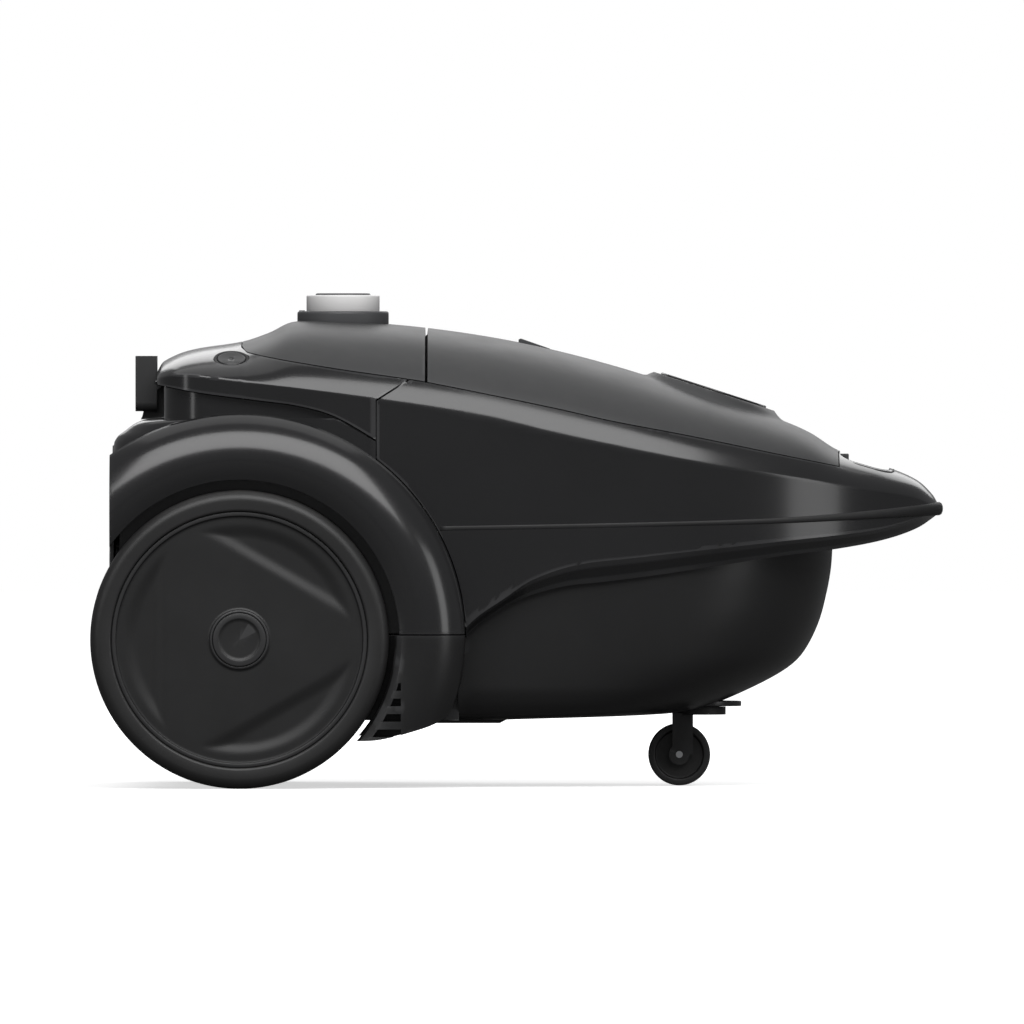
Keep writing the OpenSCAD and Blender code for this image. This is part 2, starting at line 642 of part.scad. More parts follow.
module exhaust_cover() {
    color("#1c1c1e") {
        difference() {
            union() {
                block(door_x - 1.5, door_x + 1.5, exhaust_half, door_z, exhaust_z1);
                along_y(1.5, 2 * exhaust_half, door_x, door_z);
            }
            for (i = [1 : slots]) translate([rear_x, 0, exhaust_z0 + i * (exhaust_z1 - exhaust_z0) / (slots + 1)])
                cube([20, 2 * exhaust_half - 16, 3.2], center = true);
        }
        along_y(door_pin_r, 2 * (exhaust_half + 2.4), door_x, door_z);
    }
}
pleats = 14;
module exhaust_filter() {
    x0 = rear_x + 10;
    half = exhaust_half - 5;
    color("#e6e6e0") difference() {
        block(x0, x0 + 18, half, exhaust_z0 + 3, exhaust_z1 - 3);
        for (i = [0 : pleats - 1]) translate([x0 - 1, (i + 0.25) * 2 * (half - 4) / pleats - half + 4, exhaust_z0 + 6])
            cube([14, (half - 4) / pleats, exhaust_z1 - exhaust_z0 - 12]);
    }
}

// ---------- Rear wheels, drawn with the inner face at 0 and the outer face at tyre_w ----------
tyre_in = wheel_r - tyre_t;
face_r = tyre_in - 3;
hub_r = axle_d / 2 + 7;
hub_l = tyre_w - 9;
cap_r = 15.4;
segment_chord = 44 * wheel_r / 86;
module right_side() at_axle() translate([0, 0, wheel_y]) children();
module left_side() mirror([0, 1, 0]) right_side() children();
module tyre() {
    shoulder_r = 6;
    rotate_extrude() {
        difference() {
            union() {
                translate([tyre_in, 0]) square([tyre_t - shoulder_r, tyre_w]);
                translate([tyre_in, shoulder_r]) square([tyre_t, tyre_w - 2 * shoulder_r]);
                for (z = [shoulder_r, tyre_w - shoulder_r])
                    translate([wheel_r - shoulder_r, z]) circle(r = shoulder_r);
            }
            translate([tyre_in - 1, 3]) square([2.2, tyre_w - 6]);
        }
    }
}
module wheel() {
    difference() {
        union() {
            cylinder(r = hub_r, h = hub_l);
            difference() {
                cylinder(r = tyre_in, h = tyre_w - 2);
                translate([0, 0, -1]) cylinder(r = tyre_in - 4, h = tyre_w - 6);
                translate([0, 0, tyre_w - 3.6]) cylinder(r = face_r, h = 10);
            }
            for (a = [0 : 30 : 330]) rotate(a) translate([hub_r - 1, -1, tyre_w - 14]) cube([tyre_in - hub_r - 1, 2, 10]);
            translate([0, 0, tyre_w - 9]) cylinder(r = cap_r + 2, h = 3);
        }
        // three flat segments between the raised arms of the face
        for (a = [60, 180, 300]) rotate(a) intersection() {
            translate([segment_chord, -face_r, tyre_w - 5.4]) cube([2 * face_r, 2 * face_r, 10]);
            cylinder(r = face_r - 4.3, h = tyre_w + 10);
        }
        translate([0, 0, -1]) cylinder(r = axle_d / 2 + running, h = tyre_w);
        translate([0, 0, hub_l]) cylinder(r = cap_r, h = 20);
    }
}
module hub_cap() difference() {
    translate([0, 0, tyre_w - 5.9]) cylinder(r = cap_r - running, h = 5);
    translate([0, 0, tyre_w - 1.9]) cylinder(r = 11.8, h = 5);
}
module right_tyre() color("#161617") right_side() tyre();
module left_tyre() color("#161617") left_side() tyre();
module right_wheel() color("#1d1d1f") right_side() wheel();
module left_wheel() color("#1d1d1f") left_side() wheel();
module right_hub_cap() color("#222224") right_side() hub_cap();
module left_hub_cap() color("#222224") left_side() hub_cap();
module wheel_axles() color("#b9bcc0") both_sides() at_axle() translate([0, 0, well_y - 16]) {
    cylinder(r = axle_d / 2, h = 16 + wheel_gap + hub_l + 1);
    translate([0, 0, 16 + wheel_gap + hub_l + 0.6]) cylinder(r = axle_d / 2 + 3, h = 1.6);
}

// ---------- Front caster ----------
trail = 12;
caster_r = caster_d / 2;
fork_z = caster_r + 23;
module caster_fork() {
    color("#1a1a1c") difference() {
        union() {
            translate([swivel_x, 0, fork_z]) cylinder(r = 15, h = swivel_z - fork_z - 0.4);
            translate([swivel_x, 0, fork_z]) cylinder(r = swivel_d / 2, h = swivel_z - fork_z + swivel_boss_h - 8);
            both_sides() translate([swivel_x - trail, caster_w / 2 + loose, 0]) {
                translate([-4, 0, caster_r]) cube([12, 2.6, fork_z - caster_r + 1]);
                translate([0, 0, caster_r]) rotate([-90, 0, 0]) cylinder(r = 6, h = 2.6);
            }
        }
        along_y(2, far, swivel_x - trail, caster_r);
    }
}
module caster_axle() color("#b9bcc0") along_y(2, caster_w + 2 * loose + 5, swivel_x - trail, caster_r);
module caster_wheel() {
    color("#2b2b2d") difference() {
        along_y(caster_r, caster_w, swivel_x - trail, caster_r);
        along_y(2 + running, far, swivel_x - trail, caster_r);
        both_sides() translate([swivel_x - trail, caster_w / 2 - 2, caster_r]) rotate([-90, 0, 0])
            ring(caster_r - 4, 5, 5);
    }
}

// ---------- Dust chamber ----------
bulkhead_x = place_x(16);
bulkhead_t = 3;
motor_z = 105;
intake_r = 26;
module yz_plate(x, t, half, z0, z1, r) translate([x, 0, 0]) rotate([90, 0, 90]) linear_extrude(height = t)
    rotate(-90) translate([-z1, 0]) tail_plate(0, z1 - z0, half, r);
module bulkhead() {
    color("#303033") difference() {
        union() {
            yz_plate(bulkhead_x, bulkhead_t, well_y - wall - 1 - loose, floor_z, 246, 28);
            both_sides() for (y = [ear_y - ear_t, ear_y + ear_t / 2 + loose]) translate([0, y, 0]) {
                translate([hinge_x, 0, hinge_z]) rotate([-90, 0, 0]) cylinder(r = ear_r, h = ear_t / 2 - loose);
                translate([hinge_x - ear_r, 0, 234]) cube([2 * ear_r, ear_t / 2 - loose, hinge_z - 234]);
                translate([hinge_x - ear_r, 0, 234]) cube([bulkhead_x - hinge_x + ear_r + 1, ear_t / 2 - loose, 8]);
            }
        }
        translate([bulkhead_x - 1, 0, motor_z]) rotate([0, 90, 0]) cylinder(r = intake_r, h = 10);
        both_sides() translate([hinge_x, ear_y - 30, hinge_z]) rotate([-90, 0, 0]) cylinder(r = hinge_d / 2, h = 60);
    }
}
filter_half = 40;
module motor_filter_frame() {
    color("#3a3a3d") difference() {
        block(bulkhead_x + bulkhead_t, bulkhead_x + bulkhead_t + 8, filter_half + 4,
            motor_z - filter_half - 4, motor_z + filter_half + 4);
        block(bulkhead_x, bulkhead_x + 30, filter_half, motor_z - filter_half, motor_z + filter_half);
    }
}
module motor_filter() color("#c9cdd2") block(bulkhead_x + bulkhead_t + 1, bulkhead_x + bulkhead_t + 7,
    filter_half, motor_z - filter_half, motor_z + filter_half);
holder_half = 84 * widen;
module bag_holder() {
    color("#8d2f2a") {
        at_inlet() translate([0, 0, -socket_l - 11.5]) difference() {
            block(-50, 44, holder_half, 0, 2.5);
            translate([0, 0, -1]) cylinder(r = socket_d / 2 + 5, h = 5);
        }
        both_sides() translate([bulkhead_x + bulkhead_t, holder_half - 6, 200])
            cube([inlet_x - 57 - bulkhead_x - bulkhead_t, 6, 7]);
    }
}
module bag_collar() {
    color("#b08a5c") at_inlet() translate([0, 0, -socket_l - 8.9]) difference() {
        block(-46, 40, 44, 0, 2.5);
        translate([0, 0, -1]) cylinder(r = socket_d / 2 + 1, h = 5);
    }
}
bag_r = 20;
module dust_bag() {
    color("#d8d2c4") {
        hull() {
            both_sides() {
                for (p = [[place_x(50), 56, 72], [place_x(50), 50, 172], [place_x(170), 36, 98], [place_x(160), 36, 148]])
                    translate([p[0], p[1] * widen, p[2]]) sphere(r = bag_r, $fn = 28);
            }
        }
        at_inlet() translate([0, 0, -socket_l - 45]) cylinder(r = socket_d / 2 + 3, h = 33);
    }
}

// ---------- Motor, lying along X ----------
fan_x1 = bulkhead_x - 9;                   // front face of the fan housing
fan_l = 30;
fan_x0 = fan_x1 - fan_l;
can_l = 74;
can_x0 = fan_x0 - can_l;
bearing_r = shaft_d / 2 + 7;
module along_x(x) translate([x, 0, motor_z]) rotate([0, 90, 0]) children();
module fan_housing() {
    color("#9a9da1") difference() {
        along_x(fan_x0) cylinder(r = fan_d / 2, h = fan_l);
        along_x(fan_x0 + 4) cylinder(r = fan_d / 2 - 2.5, h = fan_l - 6.5);
        along_x(fan_x1 - 5) cylinder(r = 20, h = 10);
        along_x(fan_x0 - 1) cylinder(r = bearing_r, h = 10);
        for (a = [0 : 30 : 330]) translate([fan_x0 - 1, 0, motor_z]) rotate([a, 0, 0]) translate([0, 0, fan_d / 2 - 9])
            rotate([0, 90, 0]) cylinder(r = 4, h = 10);
    }
}
module impeller() {
    color("#c4c7ca") difference() {
        union() {
            along_x(fan_x0 + 9) cylinder(r = fan_d / 2 - 7, h = 1.4);
            along_x(fan_x0 + 9) cylinder(r = 11, h = 14);
            for (a = [0 : 40 : 320]) translate([fan_x0 + 9, 0, motor_z]) rotate([a, 0, 0])
                translate([0, 4, 12]) rotate([-18, 0, 0]) cube([12, 1.4, fan_d / 2 - 24]);
        }
        along_x(fan_x0) cylinder(r = shaft_d / 2, h = 40);
    }
}
module motor_can() {
    color("#7d8084") difference() {
        along_x(can_x0) cylinder(r = can_d / 2, h = can_l);
        along_x(can_x0 + 3) cylinder(r = can_d / 2 - 2, h = can_l);
        along_x(can_x0 - 1) cylinder(r = bearing_r, h = 10);
        for (a = [30 : 60 : 330]) translate([can_x0 - 1, 0, motor_z]) rotate([a, 0, 0])
            translate([0, 0, can_d / 2 - 14]) rotate([0, 90, 0]) cylinder(r = 6, h = 10);
    }
}
module motor_stator() {
    color("#5b3a24") along_x(can_x0 + 20) ring(can_d / 2 - 2.1, can_d / 2 - 17, 42);
}
module motor_rotor() {
    color("#8f5a2a") {
        along_x(can_x0 - 4) cylinder(r = shaft_d / 2, h = can_l + 30);
        along_x(can_x0 + 20) cylinder(r = can_d / 2 - 18, h = 42);
        along_x(can_x0 + 9) cylinder(r = shaft_d / 2 + 6, h = 8);
    }
}
module motor_bearings() color("#c9ccd0") for (x = [can_x0 - 3.5, fan_x0 - 3]) along_x(x)
    ring(bearing_r, shaft_d / 2 + running, 6.5);
module motor_front_seal() color("#141414") along_x(fan_x1) ring(36, 24, bulkhead_x - fan_x1);
module motor_rear_mount() {
    color("#151515") difference() {
        union() {
            along_x(can_x0 - 10) cylinder(r = 24, h = 10);
            block(can_x0 - 10, can_x0, 14, floor_z, motor_z);
        }
        along_x(can_x0 - 6) cylinder(r = bearing_r + 3, h = 20);
    }
}

// ---------- Cord reel, lying flat above the motor ----------
reel_x = axle_x + 33;
frame_z = 168;
drum_z0 = frame_z + 6;
drum_h = 42;
deck_low = 227.5;
frame_posts = [[reel_x - 66, 70], [reel_x + 58, 76]];
module reel_frame() {
    color("#3c3c40") difference() {
        union() {
            translate([0, 0, frame_z]) linear_extrude(height = 3) round_plate(reel_x - 74, reel_x + 68, 84 * widen, 12);
            translate([reel_x, 0, frame_z - 4]) cylinder(r = 10, h = 9);
            both_sides() for (p = frame_posts) translate([p[0], p[1] * widen, floor_z]) cylinder(r = 5, h = frame_z - floor_z + 1);
            translate([brake_x, brake_y, frame_z]) cylinder(r = 2.5, h = 12);
        }
        translate([reel_x, 0, frame_z - 10]) cylinder(r = reel_axle_d / 2, h = 30);
    }
}
module reel_axle() color("#b9bcc0") translate([reel_x, 0, frame_z - 6]) {
    cylinder(r = reel_axle_d / 2, h = deck_low - frame_z + 5);
    cylinder(r = reel_axle_d / 2 + 3, h = 2);
}
module reel_drum() {
    color("#4a4b4f") translate([reel_x, 0, drum_z0]) difference() {
        union() {
            for (z = [0, drum_h - 2]) translate([0, 0, z]) cylinder(r = reel_d / 2, h = 2);
            cylinder(r = 34, h = drum_h);
        }
        translate([0, 0, -1]) cylinder(r = reel_axle_d / 2 + running, h = drum_h + 2);
        translate([0, 0, 3]) ring(31, reel_axle_d / 2 + 4, drum_h);
        for (a = [0 : 60 : 300], z = [-1, drum_h - 3]) rotate(a) translate([53, 0, z]) cylinder(r = 11, h = 4);
    }
}
module reel_spring_case() {
    color("#6c6e72") translate([reel_x, 0, drum_z0 + drum_h + 0.5]) difference() {
        cylinder(r = 30, h = 7);
        translate([0, 0, -1]) cylinder(r = reel_axle_d / 2, h = 10);
        translate([0, 0, 1.5]) ring(28, reel_axle_d / 2 + 2, 4);
    }
}
brake_x = button_x;
brake_y = 82 * widen;
brake_gap = 0.6;
module reel_brake() {
    reach = reel_d / 2 + brake_gap;
    color("#8a1f1f") difference() {
        translate([0, 0, drum_z0 - 2.5]) linear_extrude(height = 6) {
            translate([brake_x, brake_y]) circle(r = 6);
            difference() {
                translate([brake_x - 4, brake_y - 20]) square([8, 20]);
                translate([reel_x, 0]) circle(r = reach);
            }
        }
        translate([brake_x, brake_y, 0]) cylinder(r = 2.5 + running, h = far);
    }
}

// ---------- Controls ----------
board_z = deck_low + 5.5;
board_posts = [[collar_x - 38, 28], [collar_x + 26, 28]];
module inner_deck() {
    color("#3a3a3e") difference() {
        union() {
            translate([0, 0, deck_low]) linear_extrude(height = 2.5) round_plate(axle_x - 33, place_x(-12), 92 * widen, 14);
            both_sides() for (p = [[reel_x - 62, 78], [reel_x + 56, 76]])
                translate([p[0], p[1] * widen, frame_z + 3]) cylinder(r = 4, h = deck_low - frame_z - 2.5);
            both_sides() for (p = board_posts) translate([p[0], p[1], deck_low + 1]) cylinder(r = 3, h = board_z - deck_low - 1);
        }
        for (side = [-1, 1]) at_button(side) translate([0, 0, -40]) cylinder(r = bezel_r + 5, h = 40);
    }
}
module control_board() {
    color("#2f5d3a") {
        block(collar_x - 46, collar_x + 32, 34, board_z, board_z + 1.6);
        translate([collar_x - 40, -26, board_z + 1.6]) cube([16, 10, 9]);
        translate([collar_x - 36, 14, board_z + 1.6]) cylinder(r = 6, h = 11);
        translate([collar_x + 14, 10, board_z + 1.6]) cube([10, 14, 7]);
    }
}
spindle_r = 3;
module speed_control() {
    color("#7a7c80") difference() {
        union() {
            block(collar_x - 8, collar_x + 8, 8, board_z + 1.6, board_z + 9);
            translate([collar_x, 0, board_z + 5]) cylinder(r = 5, h = 12);
        }
        translate([collar_x, 0, board_z + 4]) cylinder(r = spindle_r + running, h = 20);
    }
}
knob_z = collar_z - 0.7;
module knob_collar() {
    color("#4a4b4d") {
        difference() {
            union() {
                difference() {
                    translate([collar_x, 0, 258]) cylinder(r = collar_r, h = collar_z - 258);
                    body_form(-88, -12);
                }
                translate([collar_x, 0, 262]) cylinder(r = collar_r - 3 - running, h = 11);
            }
            translate([collar_x, 0, 255]) cylinder(r = spindle_r + 2, h = 30);
            translate([collar_x, 0, knob_z - 0.3]) cylinder(r = knob_d / 2 + 0.3, h = 10);
        }
        translate([collar_x - collar_r + 1, -1, collar_z - 0.1]) cube([3.4, 2, 0.6]);
    }
}
module knob_ring() {
    color("#f1f1f1") translate([collar_x, 0, knob_z]) difference() {
        union() {
            cylinder(r = knob_d / 2, h = knob_h - 1);
            translate([0, 0, knob_h - 1]) cylinder(r1 = knob_d / 2, r2 = knob_d / 2 - 0.8, h = 0.8);
        }
        translate([0, 0, -1]) cylinder(r = knob_d / 2 - 5.2, h = knob_h + 5);
    }
}
module knob_cap() {
    color("#3a3b3d") translate([collar_x, 0, 0]) {
        translate([0, 0, knob_z]) cylinder(r = knob_d / 2 - 5.2, h = knob_h + 0.6);
        translate([0, 0, board_z + 5]) cylinder(r = spindle_r, h = knob_z - board_z - 4);
    }
}
module foot_button() {
    translate([0, 0, -6]) cylinder(r = button_d / 2, h = 6.6);
    translate([0, 0, -13]) cylinder(r = 3, h = 8);
}
module power_button() color("#2a2a2d") at_button(-1) foot_button();
module rewind_button() color("#2a2a2d") at_button(1) foot_button();
module button_bezels() color("#121213") for (side = [-1, 1]) at_button(side)
    translate([0, 0, -8]) ring(bezel_r - running, button_d / 2 + 0.25, 8.4);
module power_switch() color("#8b8d90") at_button(-1)
    translate([-7, -6, -13.3 - button_travel - 9]) cube([14, 12, 9]);
module housing_screws() color("#b9bcc0") for (p = cover_screws) translate([p[0], p[1], belly_z + 0.1]) {
    cylinder(r = screw_r - running, h = 20);
    cylinder(r = 3.6, h = 1.8);
}

base_tub();
belly_plate();
rear_shell();
front_shell();
rear_hood();
rear_cover();
front_lid();
bumper_strip();
parking_bracket();
bulkhead();
lid_hinge_pins();
lid_gasket();
lid_latch();
hose_socket();
hose_socket_ring();
hose_seal();
indicator_window();
indicator_flag();
bag_holder();
bag_collar();
dust_bag();
motor_filter();
motor_filter_frame();
fan_housing();
impeller();
motor_can();
motor_stator();
motor_rotor();
motor_bearings();
motor_front_seal();
motor_rear_mount();
reel_frame();
reel_axle();
reel_drum();
reel_spring_case();
reel_brake();
cord_outlet();
inner_deck();
control_board();
speed_control();
power_switch();
knob_collar();
knob_ring();
knob_cap();
power_button();
rewind_button();
button_bezels();
exhaust_cover();
exhaust_filter();
wheel_axles();
right_tyre();
right_wheel();
right_hub_cap();
left_tyre();
left_wheel();
left_hub_cap();
caster_fork();
caster_wheel();
caster_axle();
housing_screws();
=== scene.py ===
# %% [markdown]
# # A canister vacuum cleaner
# The engineering model gives every piece its place. Here the pieces that show get smooth surfaces and real
# finishes, and the hidden ones get a finish only. Nothing is moved: each new piece takes the place of its
# twin.

# %% Load the engineering model
import functools
import json
import math

import bmesh
import bpy
from mathutils import Matrix, Vector


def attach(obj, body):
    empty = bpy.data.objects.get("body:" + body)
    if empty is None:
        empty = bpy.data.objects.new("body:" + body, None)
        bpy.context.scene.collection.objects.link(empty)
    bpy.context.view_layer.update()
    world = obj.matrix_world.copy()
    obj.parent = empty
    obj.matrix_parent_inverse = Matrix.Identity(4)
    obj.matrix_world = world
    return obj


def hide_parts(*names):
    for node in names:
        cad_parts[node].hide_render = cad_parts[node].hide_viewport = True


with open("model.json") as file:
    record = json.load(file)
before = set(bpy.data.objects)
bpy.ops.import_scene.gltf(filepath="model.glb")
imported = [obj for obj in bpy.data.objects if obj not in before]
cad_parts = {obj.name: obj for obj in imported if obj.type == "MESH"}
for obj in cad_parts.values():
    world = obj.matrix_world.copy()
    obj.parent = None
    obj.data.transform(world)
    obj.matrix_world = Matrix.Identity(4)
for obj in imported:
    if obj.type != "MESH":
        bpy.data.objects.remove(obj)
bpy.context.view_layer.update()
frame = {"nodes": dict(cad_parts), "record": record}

MM = 0.001
nodes = frame["nodes"]

# %% [markdown]
# ## Camera and light
# A black object shows mostly what it reflects. A long lens nearly level with the floor keeps the outline
# true. A wide soft box above the camera draws the pale line along the top, and tall ones at the two ends
# draw soft upright bands near the nose and the tail. The room is grey to the object and white only to the
# camera.

# %% Camera
scene = bpy.context.scene
scene.view_settings.view_transform = "Standard"
AIM = Vector((-0.0035, 0, 0.1585))
DISTANCE = 20.0
ELEVATION = math.radians(0.4)
VIEW_WIDTH = 0.594
SENSOR = 36
camera = bpy.data.objects.new("camera", bpy.data.cameras.new("camera"))
camera.data.sensor_width = SENSOR
camera.data.lens = DISTANCE * SENSOR / VIEW_WIDTH
camera.data.clip_end = 100
camera.location = AIM + DISTANCE * Vector((0, -math.cos(ELEVATION), math.sin(ELEVATION)))
camera.rotation_euler = (math.radians(90) - ELEVATION, 0, 0)
scene.collection.objects.link(camera)
scene.camera = camera
print("lens", round(camera.data.lens), "mm")

# %% Soft boxes and a grey room
def soft_box(name, place, aim, width, height, power):
    light = bpy.data.lights.new(name, "AREA")
    light.shape, light.size, light.size_y, light.energy = "RECTANGLE", width, height, power
    box = bpy.data.objects.new(name, light)
    box.location = place
    box.rotation_euler = (Vector(aim) - Vector(place)).to_track_quat("-Z", "Y").to_euler()
    scene.collection.objects.link(box)

soft_box("key_box", (0.2, -3.2, 3.2), (0, 0, 0.1), 5.0, 3.0, 180)
soft_box("top_box", (0, 0.8, 2.6), (0, 0, 0.1), 3.0, 2.4, 13)
soft_box("nose_side_box", (2.35, -1.6, 0.5), (0.15, 0, 0.15), 0.8, 1.5, 8)
soft_box("tail_side_box", (-1.9, -2.0, 0.8), (0, 0, 0.15), 0.4, 1.5, 4)
soft_box("far_box", (0.4, 3.0, 1.6), (0, 0, 0.12), 3.0, 1.6, 22)

world = bpy.data.worlds.new("studio")
scene.world = world
world.use_nodes = True
wn, wl = world.node_tree.nodes, world.node_tree.links
wn.clear()
room, paper, chooser, world_out = (wn.new("ShaderNodeBackground"), wn.new("ShaderNodeBackground"),
                                   wn.new("ShaderNodeMixShader"), wn.new("ShaderNodeOutputWorld"))
room.inputs["Color"].default_value = (0.19, 0.191, 0.194, 1)
paper.inputs["Color"].default_value = (1, 1, 1, 1)
wl.new(wn.new("ShaderNodeLightPath").outputs["Is Camera Ray"], chooser.inputs["Fac"])
wl.new(room.outputs[0], chooser.inputs[1])
wl.new(paper.outputs[0], chooser.inputs[2])
wl.new(chooser.outputs[0], world_out.inputs["Surface"])
print("five soft boxes")

# %% [markdown]
# ## Finishes
# A moulded plastic is never one flat value. It has a fine grain from the steel mould, faint flow marks, a
# little dust on the faces that look up and a dull gleam on its handled edges. These effects are shared by many
# finishes, so each is a node group that is built once, and every finish sets its own strength.

# %% A builder for node groups
class Graph:
    def __init__(self, tree):
        self.tree = tree

    def node(self, kind, **settings):
        made = self.tree.nodes.new("ShaderNode" + kind)
        for key, value in settings.items():
            setattr(made, key, value)
        return made

    def put(self, value, socket):
        if isinstance(value, bpy.types.NodeSocket):
            self.tree.links.new(value, socket)
        else:
            socket.default_value = value

    def math(self, operation, a, b=0.0, clamp=False):
        made = self.node("Math", operation=operation, use_clamp=clamp)
        self.put(a, made.inputs[0])
        self.put(b, made.inputs[1])
        return made.outputs[0]

    def times(self, a, b):
        return self.math("MULTIPLY", a, b)

    def noise(self, vector, scale, detail=3.0, roughness=0.5):
        made = self.node("TexNoise")
        self.put(vector, made.inputs["Vector"])
        self.put(scale, made.inputs["Scale"])
        made.inputs["Detail"].default_value = detail
        made.inputs["Roughness"].default_value = roughness
        return made.outputs["Fac"]

    def span(self, value, low, high, to_low=0.0, to_high=1.0):
        made = self.node("MapRange", clamp=True)
        for socket, number in zip(made.inputs[:5], (value, low, high, to_low, to_high)):
            self.put(number, socket)
        return made.outputs[0]

    def mix(self, share, a, b):
        made = self.node("Mix", data_type="RGBA")
        self.put(share, made.inputs[0])
        self.put(a, made.inputs[6])
        self.put(b, made.inputs[7])
        return made.outputs[2]

def node_group(name, inputs, outputs):
    tree = bpy.data.node_groups.new(name, "ShaderNodeTree")
    for label, kind, value in inputs:
        socket = tree.interface.new_socket(label, in_out="INPUT", socket_type="NodeSocket" + kind)
        if value is not None:
            socket.default_value = value
    for label, kind in outputs:
        tree.interface.new_socket(label, in_out="OUTPUT", socket_type="NodeSocket" + kind)
    graph = Graph(tree)
    return graph, tree.nodes.new("NodeGroupInput"), tree.nodes.new("NodeGroupOutput")

# %% Moulded surface: grain, flow marks, handled edges and dust
g, gi, go = node_group("moulded_surface",
    [("Vector", "Vector", None), ("Color", "Color", (0.05, 0.05, 0.05, 1)), ("Roughness", "Float", 0.3),
     ("Grain", "Float", 0.3), ("Marks", "Float", 0.05), ("Edge wear", "Float", 0.2), ("Dust", "Float", 0.1)],
    [("Color", "Color"), ("Roughness", "Float"), ("Height", "Float")])
MARK_TONE, WORN_TONE, DUST_TONE = (0.16, 0.16, 0.165, 1), (0.30, 0.30, 0.31, 1), (0.42, 0.40, 0.37, 1)
vector = gi.outputs["Vector"]
flow = g.noise(vector, 9.0, 4.0, 0.6)
smudge = g.span(g.noise(vector, 26.0, 5.0, 0.65), 0.42, 0.7)
grain = g.noise(vector, 1900.0, 2.0, 0.6)
geometry = g.node("NewGeometry")
edge = g.span(geometry.outputs["Pointiness"], 0.51, 0.58)
worn = g.times(edge, g.times(gi.outputs["Edge wear"], g.span(flow, 0.3, 0.7, 0.3, 1.0)))
facing_up = g.node("SeparateXYZ")
g.put(geometry.outputs["Normal"], facing_up.inputs[0])
drifts = g.span(g.noise(vector, 60.0, 6.0, 0.7), 0.4, 0.8)
dusty = g.times(g.times(g.span(facing_up.outputs["Z"], 0.35, 1.0), drifts), gi.outputs["Dust"])
marked = g.times(g.span(flow, 0.3, 0.7), gi.outputs["Marks"])
tone = g.mix(marked, gi.outputs["Color"], MARK_TONE)
tone = g.mix(worn, tone, WORN_TONE)
tone = g.mix(dusty, tone, DUST_TONE)
rough = g.math("ADD", gi.outputs["Roughness"], g.times(smudge, g.times(gi.outputs["Marks"], 1.2)))
rough = g.math("ADD", rough, g.times(dusty, 0.5), clamp=True)
g.put(tone, go.inputs["Color"])
g.put(rough, go.inputs["Roughness"])
g.put(g.times(grain, gi.outputs["Grain"]), go.inputs["Height"])
print("group", g.tree.name)

# %% Fibres: a tangle of short threads for paper, card and fleece
f, fi, fo = node_group("fibre_surface",
    [("Vector", "Vector", None), ("Color", "Color", (0.6, 0.55, 0.45, 1)),
     ("Fibre color", "Color", (0.4, 0.35, 0.27, 1)), ("Scale", "Float", 900.0), ("Contrast", "Float", 0.5)],
    [("Color", "Color"), ("Height", "Float")])
bent = f.node("VectorMath", operation="ADD")
sway = f.node("TexNoise")
f.put(fi.outputs["Vector"], sway.inputs["Vector"])
sway.inputs["Scale"].default_value = 240.0
shift = f.node("VectorMath", operation="SCALE")
f.put(sway.outputs["Color"], shift.inputs[0])
shift.inputs["Scale"].default_value = 0.004
f.put(fi.outputs["Vector"], bent.inputs[0])
f.put(shift.outputs[0], bent.inputs[1])
threads = f.node("TexVoronoi", feature="DISTANCE_TO_EDGE")
f.put(bent.outputs[0], threads.inputs["Vector"])
f.put(fi.outputs["Scale"], threads.inputs["Scale"])
thread = f.span(threads.outputs["Distance"], 0.0, 0.18, 1.0, 0.0)
cloud = f.noise(fi.outputs["Vector"], 45.0, 5.0, 0.6)
showing = f.times(f.math("ADD", thread, f.span(cloud, 0.35, 0.75)), f.times(fi.outputs["Contrast"], 0.5))
f.put(f.mix(showing, fi.outputs["Color"], fi.outputs["Fibre color"]), fo.inputs["Color"])
f.put(f.math("ADD", thread, cloud), fo.inputs["Height"])
print("group", f.tree.name)

# %% Metal surface: brushing and tarnish
m, mi, mo = node_group("metal_surface",
    [("Vector", "Vector", None), ("Color", "Color", (0.6, 0.6, 0.6, 1)), ("Roughness", "Float", 0.35),
     ("Tarnish", "Float", 0.3)],
    [("Color", "Color"), ("Roughness", "Float"), ("Height", "Float")])
stretch_out = m.node("Mapping")
m.put(mi.outputs["Vector"], stretch_out.inputs["Vector"])
stretch_out.inputs["Scale"].default_value = (60, 2200, 2200)
brushing = m.noise(stretch_out.outputs[0], 1.0, 2.0, 0.6)
stain = m.span(m.noise(mi.outputs["Vector"], 55.0, 5.0, 0.65), 0.45, 0.75)
tarnished = m.times(stain, mi.outputs["Tarnish"])
m.put(m.mix(tarnished, mi.outputs["Color"], (0.16, 0.13, 0.11, 1)), mo.inputs["Color"])
m.put(m.math("ADD", mi.outputs["Roughness"], m.times(brushing, 0.18)), mo.inputs["Roughness"])
m.put(brushing, mo.inputs["Height"])
print("group", m.tree.name)

# %% [markdown]
# ## From a group to a finish
# Every finish below is one row: which group it uses and with what values. The shader itself stays in the
# material, and numbers that are the same all over, such as the gloss coat, are set on the shader's own
# sockets.

